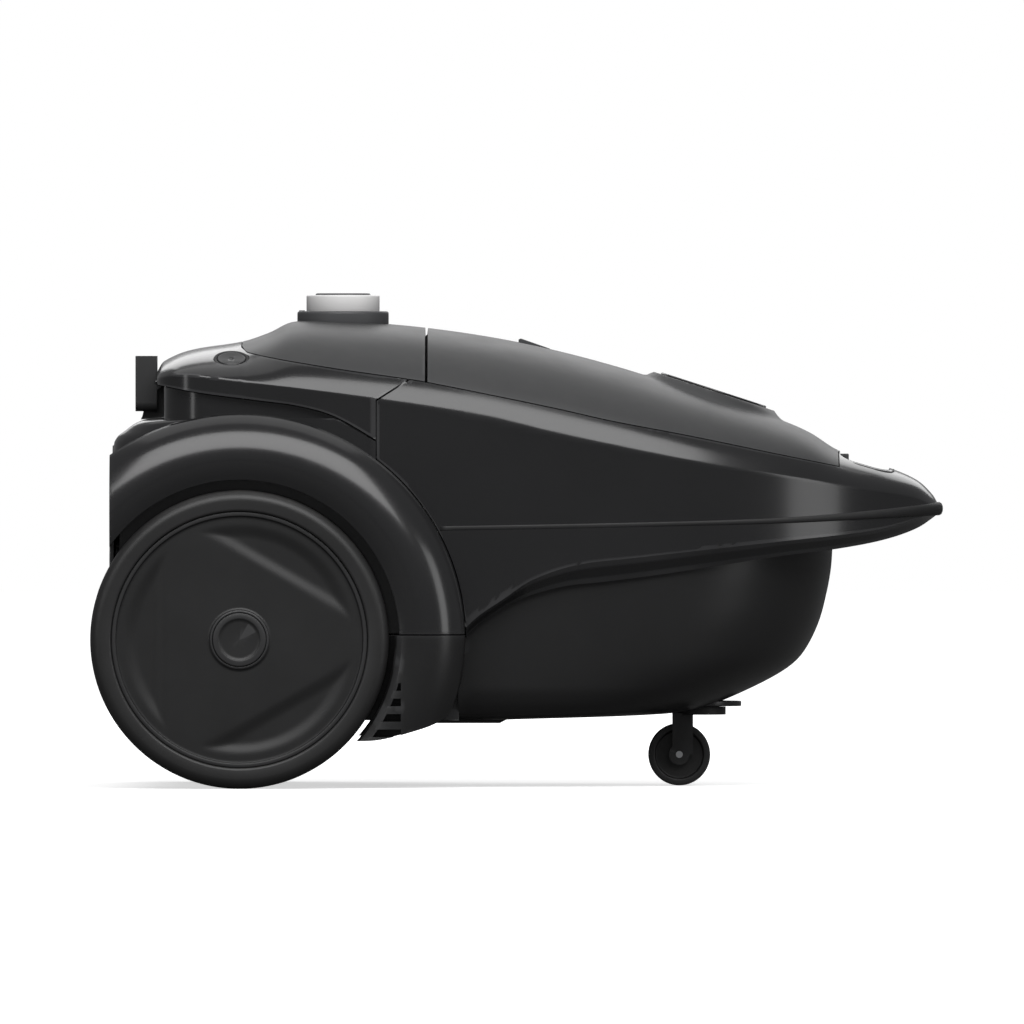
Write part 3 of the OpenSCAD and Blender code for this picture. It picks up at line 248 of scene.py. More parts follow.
# %% Make a finish
def finish(slot_name, group, values, bump=0.1, depth=0.0003, metallic=0.0, coat=0.0, sheen=0.0):
    material = bpy.data.materials.new(slot_name)
    material.use_nodes = True
    material.node_tree.nodes.clear()
    sheet = Graph(material.node_tree)
    shader, out = sheet.node("BsdfPrincipled"), sheet.node("OutputMaterial")
    for label, value in (("Metallic", metallic), ("Coat Weight", coat), ("Coat Roughness", 0.12),
                         ("Sheen Weight", sheen), ("IOR", 1.5)):
        shader.inputs[label].default_value = value
    skin = sheet.node("Group", node_tree=bpy.data.node_groups[group])
    sheet.put(sheet.node("TexCoord").outputs["Object"], skin.inputs["Vector"])
    for label, value in values.items():
        skin.inputs[label].default_value = value
    sheet.put(skin.outputs["Color"], shader.inputs["Base Color"])
    if "Roughness" in skin.outputs:
        sheet.put(skin.outputs["Roughness"], shader.inputs["Roughness"])
    else:
        shader.inputs["Roughness"].default_value = 0.85
    relief = sheet.node("Bump")
    relief.inputs["Strength"].default_value = bump
    relief.inputs["Distance"].default_value = depth
    sheet.put(skin.outputs["Height"], relief.inputs["Height"])
    sheet.put(relief.outputs[0], shader.inputs["Normal"])
    sheet.put(shader.outputs[0], out.inputs["Surface"])
    return material

def moulded(slot_name, color, roughness, grain=0.3, marks=0.04, edge_wear=0.12, dust=0.05, **more):
    return finish(slot_name, "moulded_surface", {"Color": (*color, 1), "Roughness": roughness, "Grain": grain,
                  "Marks": marks, "Edge wear": edge_wear, "Dust": dust}, **more)

def fibrous(slot_name, color, fibre, scale, contrast, **more):
    return finish(slot_name, "fibre_surface", {"Color": (*color, 1), "Fibre color": (*fibre, 1), "Scale": scale,
                  "Contrast": contrast}, bump=0.5, depth=0.0005, sheen=0.2, **more)

def metal(slot_name, color, roughness, tarnish=0.3):
    return finish(slot_name, "metal_surface", {"Color": (*color, 1), "Roughness": roughness,
                  "Tarnish": tarnish}, bump=0.15, metallic=1.0)

# %% The finishes
for plain in list(bpy.data.materials):
    bpy.data.materials.remove(plain)
FINISHES = {made.name: made for made in (
    moulded("shell_gloss", (0.0135, 0.0135, 0.0142), 0.2, grain=0.05, marks=0.02, dust=0.02, bump=0.03,
            coat=0.35),
    moulded("tub_plastic", (0.0115, 0.0115, 0.0118), 0.3, grain=0.15, marks=0.02, dust=0.02, bump=0.05),
    moulded("cover_grey", (0.038, 0.0385, 0.0395), 0.42, grain=0.5, marks=0.04, dust=0.03, bump=0.12),
    moulded("collar_grey", (0.066, 0.067, 0.07), 0.45, grain=0.5, bump=0.12),
    moulded("window_grey", (0.045, 0.046, 0.048), 0.3, grain=0.2),
    moulded("knob_white", (0.90, 0.89, 0.885), 0.35, grain=0.3, marks=0.02, edge_wear=0.0, dust=0.0, bump=0.05),
    moulded("matt_black", (0.009, 0.009, 0.0092), 0.5, grain=0.6, bump=0.15),
    moulded("soft_black", (0.006, 0.006, 0.0062), 0.55, grain=0.7, bump=0.2),
    moulded("tyre", (0.010, 0.0098, 0.0098), 0.42, grain=0.6, dust=0.08, bump=0.15),
    moulded("wheel_black", (0.010, 0.010, 0.0102), 0.4, grain=0.3, bump=0.06),
    moulded("inner_plastic", (0.05, 0.05, 0.054), 0.6, grain=0.8, marks=0.2, dust=0.5, bump=0.2),
    moulded("rubber", (0.018, 0.018, 0.018), 0.7, grain=0.8, dust=0.2, bump=0.25),
    moulded("flag_red", (0.55, 0.035, 0.025), 0.35),
    moulded("holder_red", (0.34, 0.035, 0.03), 0.45, dust=0.3),
    moulded("board_green", (0.02, 0.13, 0.055), 0.3, grain=0.2, marks=0.2),
    metal("steel", (0.58, 0.59, 0.6), 0.25, 0.15),
    metal("pressed_steel", (0.42, 0.43, 0.45), 0.38, 0.35),
    metal("cast_metal", (0.6, 0.61, 0.63), 0.45, 0.3),
    metal("copper", (0.55, 0.27, 0.13), 0.35, 0.5),
    fibrous("card", (0.45, 0.33, 0.2), (0.27, 0.18, 0.1), 700.0, 0.8),
    fibrous("bag_paper", (0.66, 0.61, 0.52), (0.5, 0.44, 0.35), 900.0, 0.7),
    fibrous("filter_fleece", (0.78, 0.79, 0.8), (0.6, 0.6, 0.6), 1200.0, 0.5))}
slot_of = {row["node"]: row["material_slot"] for row in frame["record"]["subparts"]}
print(sorted(set(slot_of.values()) - set(FINISHES)), "finishes missing")

for node_name, carried in nodes.items():
    carried.data.materials.clear()
    carried.data.materials.append(FINISHES[slot_of[node_name]])

# %% [markdown]
# ## The outlines of the body
# The body is a long soft wedge. A maker draws four lines along its side: the top, the belt where the
# shoulder starts, the crease above the lower lip, and the lip's edge. A section can then be drawn at any
# distance `u` ahead of the lid's back edge. Drawing the same lines as the moulds keeps the shells true to
# their size.

# %% Lines along the side, as (distance ahead of the lid's back edge, height) in millimetres
TOP = [(-156, 241), (-153, 245.8), (-138, 252.3), (-107, 257.5), (-92, 262.5), (-78, 268.8), (-49, 269.2),
       (0, 265.3), (53, 257), (106, 244), (166, 225), (206, 211.5), (222, 204.5), (238, 194.5), (267, 184.5),
       (284, 177), (293, 168.5), (297, 161.5)]
BELT = [(-156, 236.5), (-142, 238.5), (-112, 235.4), (-30, 225), (32, 215), (76, 204.5), (150, 189.5),
        (228, 176.5), (280, 168), (297, 161)]
FLARE = [(20, 90.4), (30, 99.6), (44, 109), (60.5, 120), (86, 128.6), (120, 132.8), (205, 142.2), (259, 148.4),
         (284, 155), (297, 160)]
EDGE = [(20, 84), (30, 94), (52, 108), (77.5, 116), (103, 119), (137, 123.4), (205, 133.7), (236, 137.5),
        (264, 142.7), (284, 149.5), (297, 158)]
GROOVE = [(5, 149.8), (105, 151.6), (205, 154.2), (259, 157.5), (297, 160.5)]
LID_LINE = [(-1, 234.6), (32, 228), (76, 218.9), (105, 212.3), (150, 203.7), (204, 192.5), (238.5, 185.5)]
COVER_LINE = [(-107, 254.8), (-104, 251.6), (-61, 243.5), (-9, 235.9), (-1, 234.6)]
HOOD_LINE = [(-157, 233), (-130.5, 228), (-98, 223.8), (-74, 220.5), (-53.5, 214.6), (-29.3, 201)]
NOTCH = [(-29.3, 224.3), (-10.7, 236.1)]
SPLIT = -52.5                    # where the lid's back edge is
SEAM = 0.6
WALL = 3.0
TAIL, TAIL_R, TAIL_W = -156, 26, 115
FULL, FULL_W = 5, 118
NOSE = 297
LIP = 8

def curve(points, x):
    x = min(max(x, points[0][0]), points[-1][0])
    i = max(k for k in range(len(points) - 1) if x >= points[k][0] or k == 0)
    def slope(k):
        a, b = points[max(k - 1, 0)], points[min(k + 1, len(points) - 1)]
        return (b[1] - a[1]) / (b[0] - a[0])
    h = points[i + 1][0] - points[i][0]
    t = (x - points[i][0]) / h
    rise = points[i + 1][1] - points[i][1]
    return points[i][1] + t * t * (3 - 2 * t) * rise + h * t * (1 - t) * ((1 - t) * slope(i) - t * slope(i + 1))

def straight(points, x):
    (x0, z0), (x1, z1) = points[0], points[-1]
    return z0 + (z1 - z0) * (x - x0) / (x1 - x0)

def plan_w(u):
    if u < TAIL + TAIL_R:
        return TAIL_W - TAIL_R + math.sqrt(max(TAIL_R ** 2 - (TAIL_R - (u - TAIL)) ** 2, 0))
    if u < FULL:
        return TAIL_W + (FULL_W - TAIL_W) * (u - TAIL - TAIL_R) / (FULL - TAIL - TAIL_R)
    return FULL_W * (1 - ((u - FULL) / (NOSE - FULL + 0.1)) ** 2.6) ** 0.6

# %% Half a section, and a sheet drawn through many of them
def bezier(p, t):
    weights = ((1 - t) ** 3, 3 * t * (1 - t) ** 2, 3 * t * t * (1 - t), t ** 3)
    return tuple(sum(k * q[axis] for k, q in zip(weights, p)) for axis in (0, 1))

@functools.lru_cache(maxsize=None)
def half_section(u):
    w = max(plan_w(u), 0.6)
    edge = curve(EDGE, u)
    flare = max(curve(FLARE, u), edge + 0.4)
    belt = max(curve(BELT, u), flare + 0.4)
    top = max(curve(TOP, u), belt + 0.4)
    shoulder = [(w, belt), (0.9 * w, belt + 0.75 * (top - belt)), (0.55 * w, top), (0, top)]
    return [(max(w - LIP, 0.4), edge), (w, flare)] + [bezier(shoulder, k / 48) for k in range(49)]

def part_way(a, b, share):
    return tuple(p + (q - p) * share for p, q in zip(a, b))

@functools.lru_cache(maxsize=None)
def run_of_points(u, low, high, count):
    """The section between two heights, as count + 1 points that are evenly spaced along it."""
    line = half_section(u)
    high = line[-1][1] + 1 if high is None else high
    kept = []
    for a, b in zip(line, line[1:]):
        if b[1] < low or a[1] > high:
            continue
        rise = max(b[1] - a[1], 1e-9)
        start = part_way(a, b, min(max((low - a[1]) / rise, 0), 1))
        if not kept:
            kept.append(start)
        kept.append(part_way(a, b, min(max((high - a[1]) / rise, 0), 1)) if b[1] > high else b)
    lengths = [0.0]
    for a, b in zip(kept, kept[1:]):
        lengths.append(lengths[-1] + math.dist(a, b))
    points, k = [], 0
    for i in range(count + 1):
        at = lengths[-1] * i / count
        while k < len(lengths) - 2 and lengths[k + 1] < at:
            k += 1
        share = (at - lengths[k]) / max(lengths[k + 1] - lengths[k], 1e-9)
        points.append(part_way(kept[k], kept[k + 1], share))
    return points

def evenly(u0, u1):
    return lambda share: u0 + (u1 - u0) * share

def round_the_nose(u0, u1):
    a0, a1 = (math.asin(min((u - FULL) / (NOSE - FULL), 1)) for u in (u0, u1))
    return lambda share: FULL + (NOSE - FULL) * math.sin(a0 + (a1 - a0) * share)

def grid(bm, rows, cols, place):
    """A net of rows by cols squares, each corner put where place(row share, column number) says."""
    for v in bmesh.ops.create_grid(bm, x_segments=rows, y_segments=cols, size=0.5)["verts"]:
        v.co = Vector(place(round((v.co.x + 0.5) * rows) / rows, round((v.co.y + 0.5) * cols))) * MM

def across(side, near, far):
    """Two distances from the middle on one side, lower first."""
    return sorted((side * near, side * far))

def side_sheets(bm, along, rows, cols, low, high):
    for side in (-1, 1):
        def place(share, col):
            u = along(share)
            y, z = run_of_points(u, low(u), high(u), cols)[col]
            return SPLIT + u, side * y, z
        grid(bm, rows, cols, place)

def sheet_over_the_top(bm, along, rows, half_cols, low):
    def place(share, col):
        u = along(share)
        y, z = run_of_points(u, low(u), None, half_cols)[min(col, 2 * half_cols - col)]
        return SPLIT + u, (y if col > half_cols else -y), z
    grid(bm, rows, 2 * half_cols, place)

print("widest", round(2 * plan_w(FULL)), "mm")

# %% [markdown]
# ## Turning sheets into pieces
# A moulded shell is a skin with a wall. The skin is modelled once and the wall is grown inwards by a
# modifier, so both faces stay parallel. Openings are cut with a boolean, and every cut edge gets a small
# round, because no mould leaves a knife edge, and because that round is what catches the light.

# %% Finish a mesh as a piece
def closed_up(bm, gap=0.02):
    bmesh.ops.remove_doubles(bm, verts=bm.verts, dist=gap * MM)
    bmesh.ops.dissolve_degenerate(bm, edges=bm.edges, dist=0.001 * MM)
    bmesh.ops.recalc_face_normals(bm, faces=bm.faces)
    return bm

def facing(bm, direction):
    """Turns an open skin so that its furthest face in a direction looks that way."""
    direction = Vector(direction)
    bm.normal_update()
    far_face = max(bm.faces, key=lambda face: face.calc_center_median().dot(direction))
    if far_face.normal.dot(direction) < 0:
        bmesh.ops.reverse_faces(bm, faces=bm.faces)
    return bm

def as_object(name, bm):
    mesh = bpy.data.meshes.new(name)
    for face in bm.faces:
        face.smooth = True
    bm.to_mesh(mesh)
    bm.free()
    made = bpy.data.objects.new(name, mesh)
    scene.collection.objects.link(made)
    return made

def extruded(bm, x, y, z):
    """Draws all faces out into a solid, by so many millimetres."""
    grown = bmesh.ops.extrude_face_region(bm, geom=list(bm.faces))["geom"]
    ends = [v for v in grown if isinstance(v, bmesh.types.BMVert)]
    bmesh.ops.translate(bm, vec=Vector((x, y, z)) * MM, verts=ends)
    bmesh.ops.recalc_face_normals(bm, faces=bm.faces)
    return bm

def settle(made):
    """Applies an object's modifiers."""
    bpy.context.view_layer.update()
    shape = bpy.data.meshes.new_from_object(made.evaluated_get(bpy.context.evaluated_depsgraph_get()))
    made.modifiers.clear()
    made.data = shape
    return made

def thicken(made, wall):
    solid = made.modifiers.new("wall", "SOLIDIFY")
    solid.thickness, solid.offset, solid.use_even_offset = wall * MM, -1, False
    return settle(made)

def carve(made, *cutters, operation="DIFFERENCE"):
    for cutter_mesh in cutters:
        tool = as_object("cutter", cutter_mesh)
        cut = made.modifiers.new("cut", "BOOLEAN")
        cut.operation, cut.object, cut.solver = operation, tool, "EXACT"
        settle(made)
        bpy.data.objects.remove(tool)
    return made

def soften(made, width=0.5, angle=35, segments=2):
    """A small round on every sharp edge, and even shading over the flats."""
    if width:
        bevel = made.modifiers.new("round", "BEVEL")
        bevel.width, bevel.segments, bevel.limit_method = width * MM, segments, "ANGLE"
        bevel.angle_limit, bevel.use_clamp_overlap = math.radians(angle), True
    for face in made.data.polygons:
        face.use_smooth = True
    even = made.modifiers.new("shading", "WEIGHTED_NORMAL")
    even.keep_sharp = True
    return made

def join(name, *parts):
    bm = bmesh.new()
    for part in parts:
        settle(part)
        bm.from_mesh(part.data)
        bpy.data.objects.remove(part)
    return as_object(name, bm)

def fit(made, body, slot_name, *replaced):
    made.data.materials.clear()
    made.data.materials.append(FINISHES[slot_name])
    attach(made, body)
    if replaced:
        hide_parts(*replaced)
    print(made.name, len(made.data.polygons), "faces")
    return made

def piece(name, bm, body, slot_name, *replaced):
    """A net that is already a finished form, made into a piece."""
    return fit(soften(as_object(name, bm), 0), body, slot_name, *replaced)

def turned(bm, profile, place=Matrix(), steps=96):
    """A closed outline of (radius, height) spun round the Z axis, then put in place."""
    ring = [bm.verts.new((r * MM, 0, z * MM)) for r, z in profile]
    edges = [bm.edges.new(pair) for pair in zip(ring, ring[1:] + ring[:1])]
    bmesh.ops.spin(bm, geom=ring + edges, cent=(0, 0, 0), axis=(0, 0, 1), angle=math.radians(360),
                   steps=steps, use_merge=True)
    grown = set(ring)
    todo = list(ring)
    while todo:
        for edge in todo.pop().link_edges:
            for v in edge.verts:
                if v not in grown:
                    grown.add(v)
                    todo.append(v)
    bmesh.ops.transform(bm, matrix=place, verts=list(grown))
    bmesh.ops.recalc_face_normals(bm, faces=list({f for v in grown for f in v.link_faces}))
    return list(grown)

def at(place):
    return Matrix.Translation(Vector(place) * MM)

def block(x0, x1, y0, y1, z0, z1):
    bm = bmesh.new()
    bmesh.ops.create_cube(bm, size=1)
    for v in bm.verts:
        v.co = Vector((x1 if v.co.x > 0 else x0, y1 if v.co.y > 0 else y0, z1 if v.co.z > 0 else z0)) * MM
    return bm

def rod(r, low, high, place=Matrix(), steps=96):
    bm = bmesh.new()
    bmesh.ops.create_cone(bm, cap_ends=True, segments=steps, radius1=r * MM, radius2=r * MM,
                          depth=(high - low) * MM, matrix=place @ at((0, 0, (high + low) / 2)))
    return bm

# %% [markdown]
# ## Front shell
# The front shell is the long side wall with its turned-in lip. Ahead of the lid it closes over and under
# the nose, and an oval hole through the nose leaves a carrying handle. It could be cut from one block, but
# a net that follows the seam lines gives clean reflections, so only the hand hole is cut.

# %% The seam above and the fender below
AXLE = Vector((-160.5, 0, 86))
ARCH_IN, ARCH_OUT = 92, 130
LID_FRONT = 238.5

def share_of_shoulder(line, u):
    return (line - curve(BELT, u)) / (curve(TOP, u) - curve(BELT, u))

def lid_seam(u):
    if u < NOTCH[1][0] + SEAM:
        return straight(NOTCH, u) - 2 * SEAM
    if u < -1:
        return curve(COVER_LINE, u) - SEAM
    if u < LID_FRONT:
        return curve(LID_LINE, u) - SEAM
    share = share_of_shoulder(curve(LID_LINE, LID_FRONT) - SEAM, LID_FRONT)
    return curve(BELT, u) + share * (max(curve(TOP, u), curve(BELT, u) + 0.4) - curve(BELT, u))

def fender_top(u):
    reach = (ARCH_OUT + SEAM) ** 2 - (SPLIT + u - AXLE.x) ** 2
    return AXLE.z + math.sqrt(reach) if reach > 0 else 0

def crease(u):
    return max(curve(FLARE, u), curve(EDGE, u) + 0.4)

def wall_foot(u):
    return max(fender_top(u), crease(u))

def lip_edge(u):
    return curve(EDGE, u)

HOOD_FRONT = -29.3
LIP_BACK = 22.6
shell = bmesh.new()
for start, rows, cols, low, high in ((HOOD_FRONT + SEAM / 2, 60, 44, wall_foot, lid_seam),
                                     (LIP_BACK, 6, 6, lip_edge, crease)):
    side_sheets(shell, evenly(start, 30), rows, cols, low, high)
    side_sheets(shell, evenly(30, LID_FRONT), 84, cols, low, high)
    side_sheets(shell, round_the_nose(LID_FRONT, NOSE), 40, cols, low, high)
sheet_over_the_top(shell, round_the_nose(LID_FRONT, NOSE), 40, 36, lid_seam)

def under_nose(share, col):
    u = round_the_nose(LID_FRONT, NOSE)(share)
    y = max(max(plan_w(u), 0.6) - LIP, 0.4)
    return SPLIT + u, y * (col / 16 - 1), curve(EDGE, u)
grid(shell, 40, 32, under_nose)
front_shell = as_object("front_shell_skin", facing(closed_up(shell, 0.05), (0, -1, 0)))
thicken(front_shell, WALL)

# %% The hand hole and its wall
HOLE = [(186.6, -46), (215.5, -33), (215.5, 33), (186.6, 46)]
HOLE_R = 11
HOLE_MIDDLE = Vector((201, 0, 165))

def hole_outline(bm, grow=0.0):
    wider = [(x + math.copysign(grow, x - HOLE_MIDDLE.x), y + math.copysign(grow, y)) for x, y in HOLE]
    corners = [bm.verts.new((x * MM, y * MM, 0)) for x, y in wider]
    bm.faces.new(corners)
    bmesh.ops.bevel(bm, geom=corners, affect="VERTICES", offset=HOLE_R * MM, segments=8, profile=0.5,
                    material=-1)

def hole_cutter():
    bm = bmesh.new()
    hole_outline(bm)
    bmesh.ops.translate(bm, vec=(0, 0, 100 * MM), verts=bm.verts)
    return extruded(bm, 0, 0, 120)

def top_at(u, y):
    line = half_section(u)[1:]
    return next((a[1] + (b[1] - a[1]) * (a[0] - abs(y)) / max(a[0] - b[0], 1e-6)
                 for a, b in zip(line, line[1:]) if a[0] >= abs(y) >= b[0] and a[0] > b[0]), line[-1][1])

def hole_wall():
    bm = bmesh.new()
    hole_outline(bm, 0.05)
    bmesh.ops.subdivide_edges(bm, edges=[e for e in bm.edges if e.calc_length() > 8 * MM], cuts=12)
    bmesh.ops.delete(bm, geom=list(bm.faces), context="FACES_ONLY")
    grown = bmesh.ops.extrude_edge_only(bm, edges=list(bm.edges))["geom"]
    upper = {v for v in grown if isinstance(v, bmesh.types.BMVert)}
    for v in bm.verts:
        u = v.co.x / MM - SPLIT
        over = curve(LID_LINE, LID_FRONT) - SEAM if v.co.x < (HOLE[0][0] + 0.2) * MM else top_at(u, v.co.y / MM)
        v.co.z = (over - 0.6 if v in upper else curve(EDGE, u) + 0.6) * MM
    bmesh.ops.recalc_face_normals(bm, faces=bm.faces)
    first = bm.faces[:][0]
    if first.normal.dot(first.calc_center_median() - HOLE_MIDDLE * MM) > 0:
        bmesh.ops.reverse_faces(bm, faces=bm.faces)
    return bm

carve(front_shell, hole_cutter())
hole_tube = thicken(as_object("hole_wall", hole_wall()), 2.6)
soften(front_shell, 1.0, 24, 3)

def prism(corners, y0, y1):
    """A flat outline of (x, z) drawn on the side, given a depth across the body."""
    bm = bmesh.new()
    bm.faces.new([bm.verts.new((x * MM, y0 * MM, z * MM)) for x, z in corners])
    return extruded(bm, 0, y1 - y0, 0)

# a flange behind the slanted seam keeps the light from shining through it
BEHIND_SEAM = [(-87, 193), (-87, 222.5), (-66, 235.5), (-61, 230), (-77.5, 219.5), (-77.5, 193)]
flanges = [as_object("flange", prism(BEHIND_SEAM, *across(side, 99, 112))) for side in (-1, 1)]
front_shell = soften(join("front_shell_skin", front_shell, hole_tube, *flanges), 0)
fit(front_shell, "body", "shell_gloss", "front_shell")

# %% [markdown]
# ## Lid
# The lid is one thin shell over the dust chamber. Its skin swells up to a flat collar where the hose goes
# in. That swell is made by lifting the net towards a cone, with a soft largest-of-two so that it fairs into
# the lid.

# %% The lid's skin with the hose collar raised
INLET = Vector((113.3, 0, 228.7))
TILT = math.radians(17.9)
RIM_R, SOCKET_R = 37, 26
LID_WALL = 2.6

def soft_largest(a, b, blend):
    share = min(max(0.5 + (a - b) / (2 * blend), 0), 1)
    return b + (a - b) * share + blend * share * (1 - share)

def collar_height(x, y):
    along = (x - INLET.x) / math.cos(TILT)
    outside = max(math.hypot(along, y) - RIM_R, 0)
    return INLET.z - (x - INLET.x) * math.tan(TILT) - 1.1 * outside

lid = bmesh.new()
sheet_over_the_top(lid, evenly(SEAM / 2, LID_FRONT - SEAM), 116, 62, lambda u: curve(LID_LINE, u))
for v in lid.verts:
    x, y, z = (c / MM for c in v.co)
    v.co.z = soft_largest(z, collar_height(x, y), 3.0) * MM if collar_height(x, y) > z - 6 else v.co.z
front_lid = thicken(as_object("lid_skin", facing(closed_up(lid), (0, 0, 1))), LID_WALL)

at_inlet = at(INLET) @ Matrix.Rotation(TILT, 4, "Y")
carve(front_lid, rod(SOCKET_R, -30, 30, at_inlet), block(0.2, 18.7, -7, 7, 200, 300))
soften(front_lid, 0.6)

# %% What the lid carries inside: hinge ears, latch cheeks and the socket's collar
HINGE = Vector((-46.5, 0, 254.5))
LATCH = Vector((188.5, 0, 189.5))
EAR_Y, EAR_T, EAR_R, HINGE_R = 40, 8, 4.1, 2.55
WEB_R, WEB_Y = 9.4, 14

def arc(x, y, r, a0, a1, count):
    return [(x + r * math.cos(math.radians(a0 + (a1 - a0) * k / count)),
             y + r * math.sin(math.radians(a0 + (a1 - a0) * k / count))) for k in range(count + 1)]

def lying(place, y):
    return at((place.x, y, place.z)) @ Matrix.Rotation(math.radians(-90), 4, "X")

inside = bmesh.new()
for side in (-1, 1):
    turned(inside, [(HINGE_R, -EAR_T / 2), (EAR_R, -EAR_T / 2), (EAR_R, EAR_T / 2), (HINGE_R, EAR_T / 2)],
           lying(HINGE, side * EAR_Y), 32)
turned(inside, [(SOCKET_R, -14), (RIM_R - 6, -14), (RIM_R - 6, -5), (SOCKET_R, -5)], at_inlet, 72)
# two webs close the view through the seam at the lid's back edge
ears = as_object("lid_inside", inside)
web = [(HINGE.x, HINGE.z)] + arc(HINGE.x, HINGE.z, WEB_R, 116, 186, 8)
for side in (-1, 1):
    ears = join("lid_inside", ears, as_object("web", prism(web, *across(side, WEB_Y - 2, WEB_Y + 2))))
for side in (-1, 1):
    y = side * EAR_Y
    post = block(HINGE.x, HINGE.x + 14, y - EAR_T / 2, y + EAR_T / 2, HINGE.z + 1, HINGE.z + 5.4)
    cheek = block(LATCH.x - 6, LATCH.x + 3.2, *across(side, 15.4, 19.4), LATCH.z - 2.6, LATCH.z + 2.8)
    ears = join("lid_inside", ears, as_object("post", post), as_object("cheek", cheek))
front_lid = soften(join("lid_skin", front_lid, soften(ears, 0.3)), 0)
fit(front_lid, "lid", "cover_grey", "front_lid")

# %% [markdown]
# ## Rear cover
# The grey cover carries the knob. Its front edge has to let the lid's back edge swing past, so a body of
# turning about the hinge line is cut out of it.

# %% Cover skin, knob hole and the lid's swing
KNOB_X = -101.5
COLLAR_R = 26.5
COVER_BACK, COVER_GAP = -107, 1.3

def lid_swing():
    reach = [(y, math.hypot(HINGE.x - SPLIT, max(z - HINGE.z, 0)) + SEAM)
             for y, z in half_section(0)[2:] if z > HINGE.z - 3]
    widest = reach[0][0]
    outline = ([(0.01, -widest)] + [(r, -y) for y, r in reach] + [(r, y) for y, r in reach[-2::-1]]
               + [(0.01, widest)])
    bm = bmesh.new()
    turned(bm, outline, lying(HINGE, 0), 72)
    return bm

cover = bmesh.new()
sheet_over_the_top(cover, evenly(COVER_BACK, -COVER_GAP), 60, 56, lambda u: curve(COVER_LINE, u))
rear_cover = thicken(as_object("rear_cover_skin", facing(closed_up(cover), (0, 0, 1))), WALL)
carve(rear_cover, lid_swing(), rod(COLLAR_R - 3, 200, 300, at((KNOB_X, 0, 0))))
fit(soften(rear_cover, 0.5), "body", "cover_grey", "rear_cover")

# %% [markdown]
# ## Hood
# The hood wraps round the back of the cover. It is one shell with a slanted nose on each side, so its net
# is made of bands that share their edges, and the round button wells are bored through it.

# %% Hood skin
HOOD_BACK, HOOD_END = COVER_BACK - SEAM, HOOD_FRONT - SEAM / 2

def cover_edge(u):
    if u > HOOD_BACK:
        return curve(COVER_LINE, u) - SEAM
    share = share_of_shoulder(curve(COVER_LINE, COVER_BACK) - SEAM, HOOD_BACK)
    return curve(BELT, u) + share * (curve(TOP, u) - curve(BELT, u))

def hood_foot(u):
    return curve(HOOD_LINE, u)

def hood_middle(u):
    share = (straight(NOTCH, HOOD_END) - hood_foot(HOOD_END)) / (cover_edge(HOOD_END) - hood_foot(HOOD_END))
    return hood_foot(u) + share * (cover_edge(u) - hood_foot(u))

def round_the_tail(share):
    return TAIL + TAIL_R * (1 - math.cos(math.radians(90) * share))

hood = bmesh.new()
LOW_COLS, MIDDLE_COLS, TOP_COLS = 22, 16, 30
ALL_COLS = LOW_COLS + MIDDLE_COLS + TOP_COLS
behind_the_cover = [(round_the_tail, 22), (evenly(TAIL + TAIL_R, HOOD_BACK), 12)]
for along, rows in behind_the_cover + [(evenly(HOOD_BACK, HOOD_END), 42)]:
    side_sheets(hood, along, rows, LOW_COLS, hood_foot, hood_middle)
    side_sheets(hood, along, rows, MIDDLE_COLS, hood_middle, cover_edge)
side_sheets(hood, evenly(HOOD_END, NOTCH[1][0]), 12, MIDDLE_COLS, lambda u: straight(NOTCH, u), cover_edge)
for along, rows in behind_the_cover:
    sheet_over_the_top(hood, along, rows, TOP_COLS, cover_edge)

def tail_wall(share, col):
    foot, middle, top_edge = hood_foot(TAIL), hood_middle(TAIL), cover_edge(TAIL)
    line = (run_of_points(TAIL, foot, middle, LOW_COLS)[:-1]
            + run_of_points(TAIL, middle, top_edge, MIDDLE_COLS)[:-1]
            + run_of_points(TAIL, top_edge, None, TOP_COLS))
    y, z = line[min(col, 2 * ALL_COLS - col)]
    return SPLIT + TAIL, (-y if col < ALL_COLS else y), z + (foot - z) * share
grid(hood, 4, 2 * ALL_COLS, tail_wall)
rear_hood = thicken(as_object("hood_skin", facing(closed_up(hood, 0.03), (0, 0, 1))), WALL)

BUTTON = Vector((-165.5, 95, 247.5))
BUTTON_TILT = math.radians(26)
BEZEL_R = 10.5
def at_button(side):
    return at((BUTTON.x, side * BUTTON.y, BUTTON.z)) @ Matrix.Rotation(-side * BUTTON_TILT, 4, "X")

carve(rear_hood, rod(BEZEL_R, -12, 18, at_button(-1), 64), rod(BEZEL_R, -12, 18, at_button(1), 64))
fit(soften(rear_hood, 0.5), "body", "shell_gloss", "rear_hood")

# %% [markdown]
# ## Rear shell and wheel arches
# The housing is drawn as a net that runs round the back corners and up the back wall. An arch is a soft
# ring round the rear axle: it is turned once, and the upper part goes to the shell, the lower part to the
# tub.

# %% Outlines with rounded back corners
REAR_X, BASE_Z, DECK_Z = -236, 88.6, 213.3
HOOD_X = SPLIT + HOOD_FRONT
HOUSING = [(0, 0.3), (0, 26), (0, 50.4), (1.2, 82), (2.3, 106.4), (4, 113), (9, 117.4), (18, 123.1),
           (31.5, 124.7)]

def smooth_run(points, steps):
    """A smooth line through points, with so many steps between each two."""
    padded = [points[0]] + list(points) + [points[-1]]
    run = []
    for a, b, c, d in zip(padded, padded[1:], padded[2:], padded[3:]):
        for k in range(steps):
            t = k / steps
            run.append(tuple(0.5 * (2 * q + (r - p) * t + (2 * p - 5 * q + 4 * r - s) * t * t
                             + (3 * q - p - 3 * r + s) * t ** 3) for p, q, r, s in zip(a, b, c, d)))
    return run + [points[-1]]

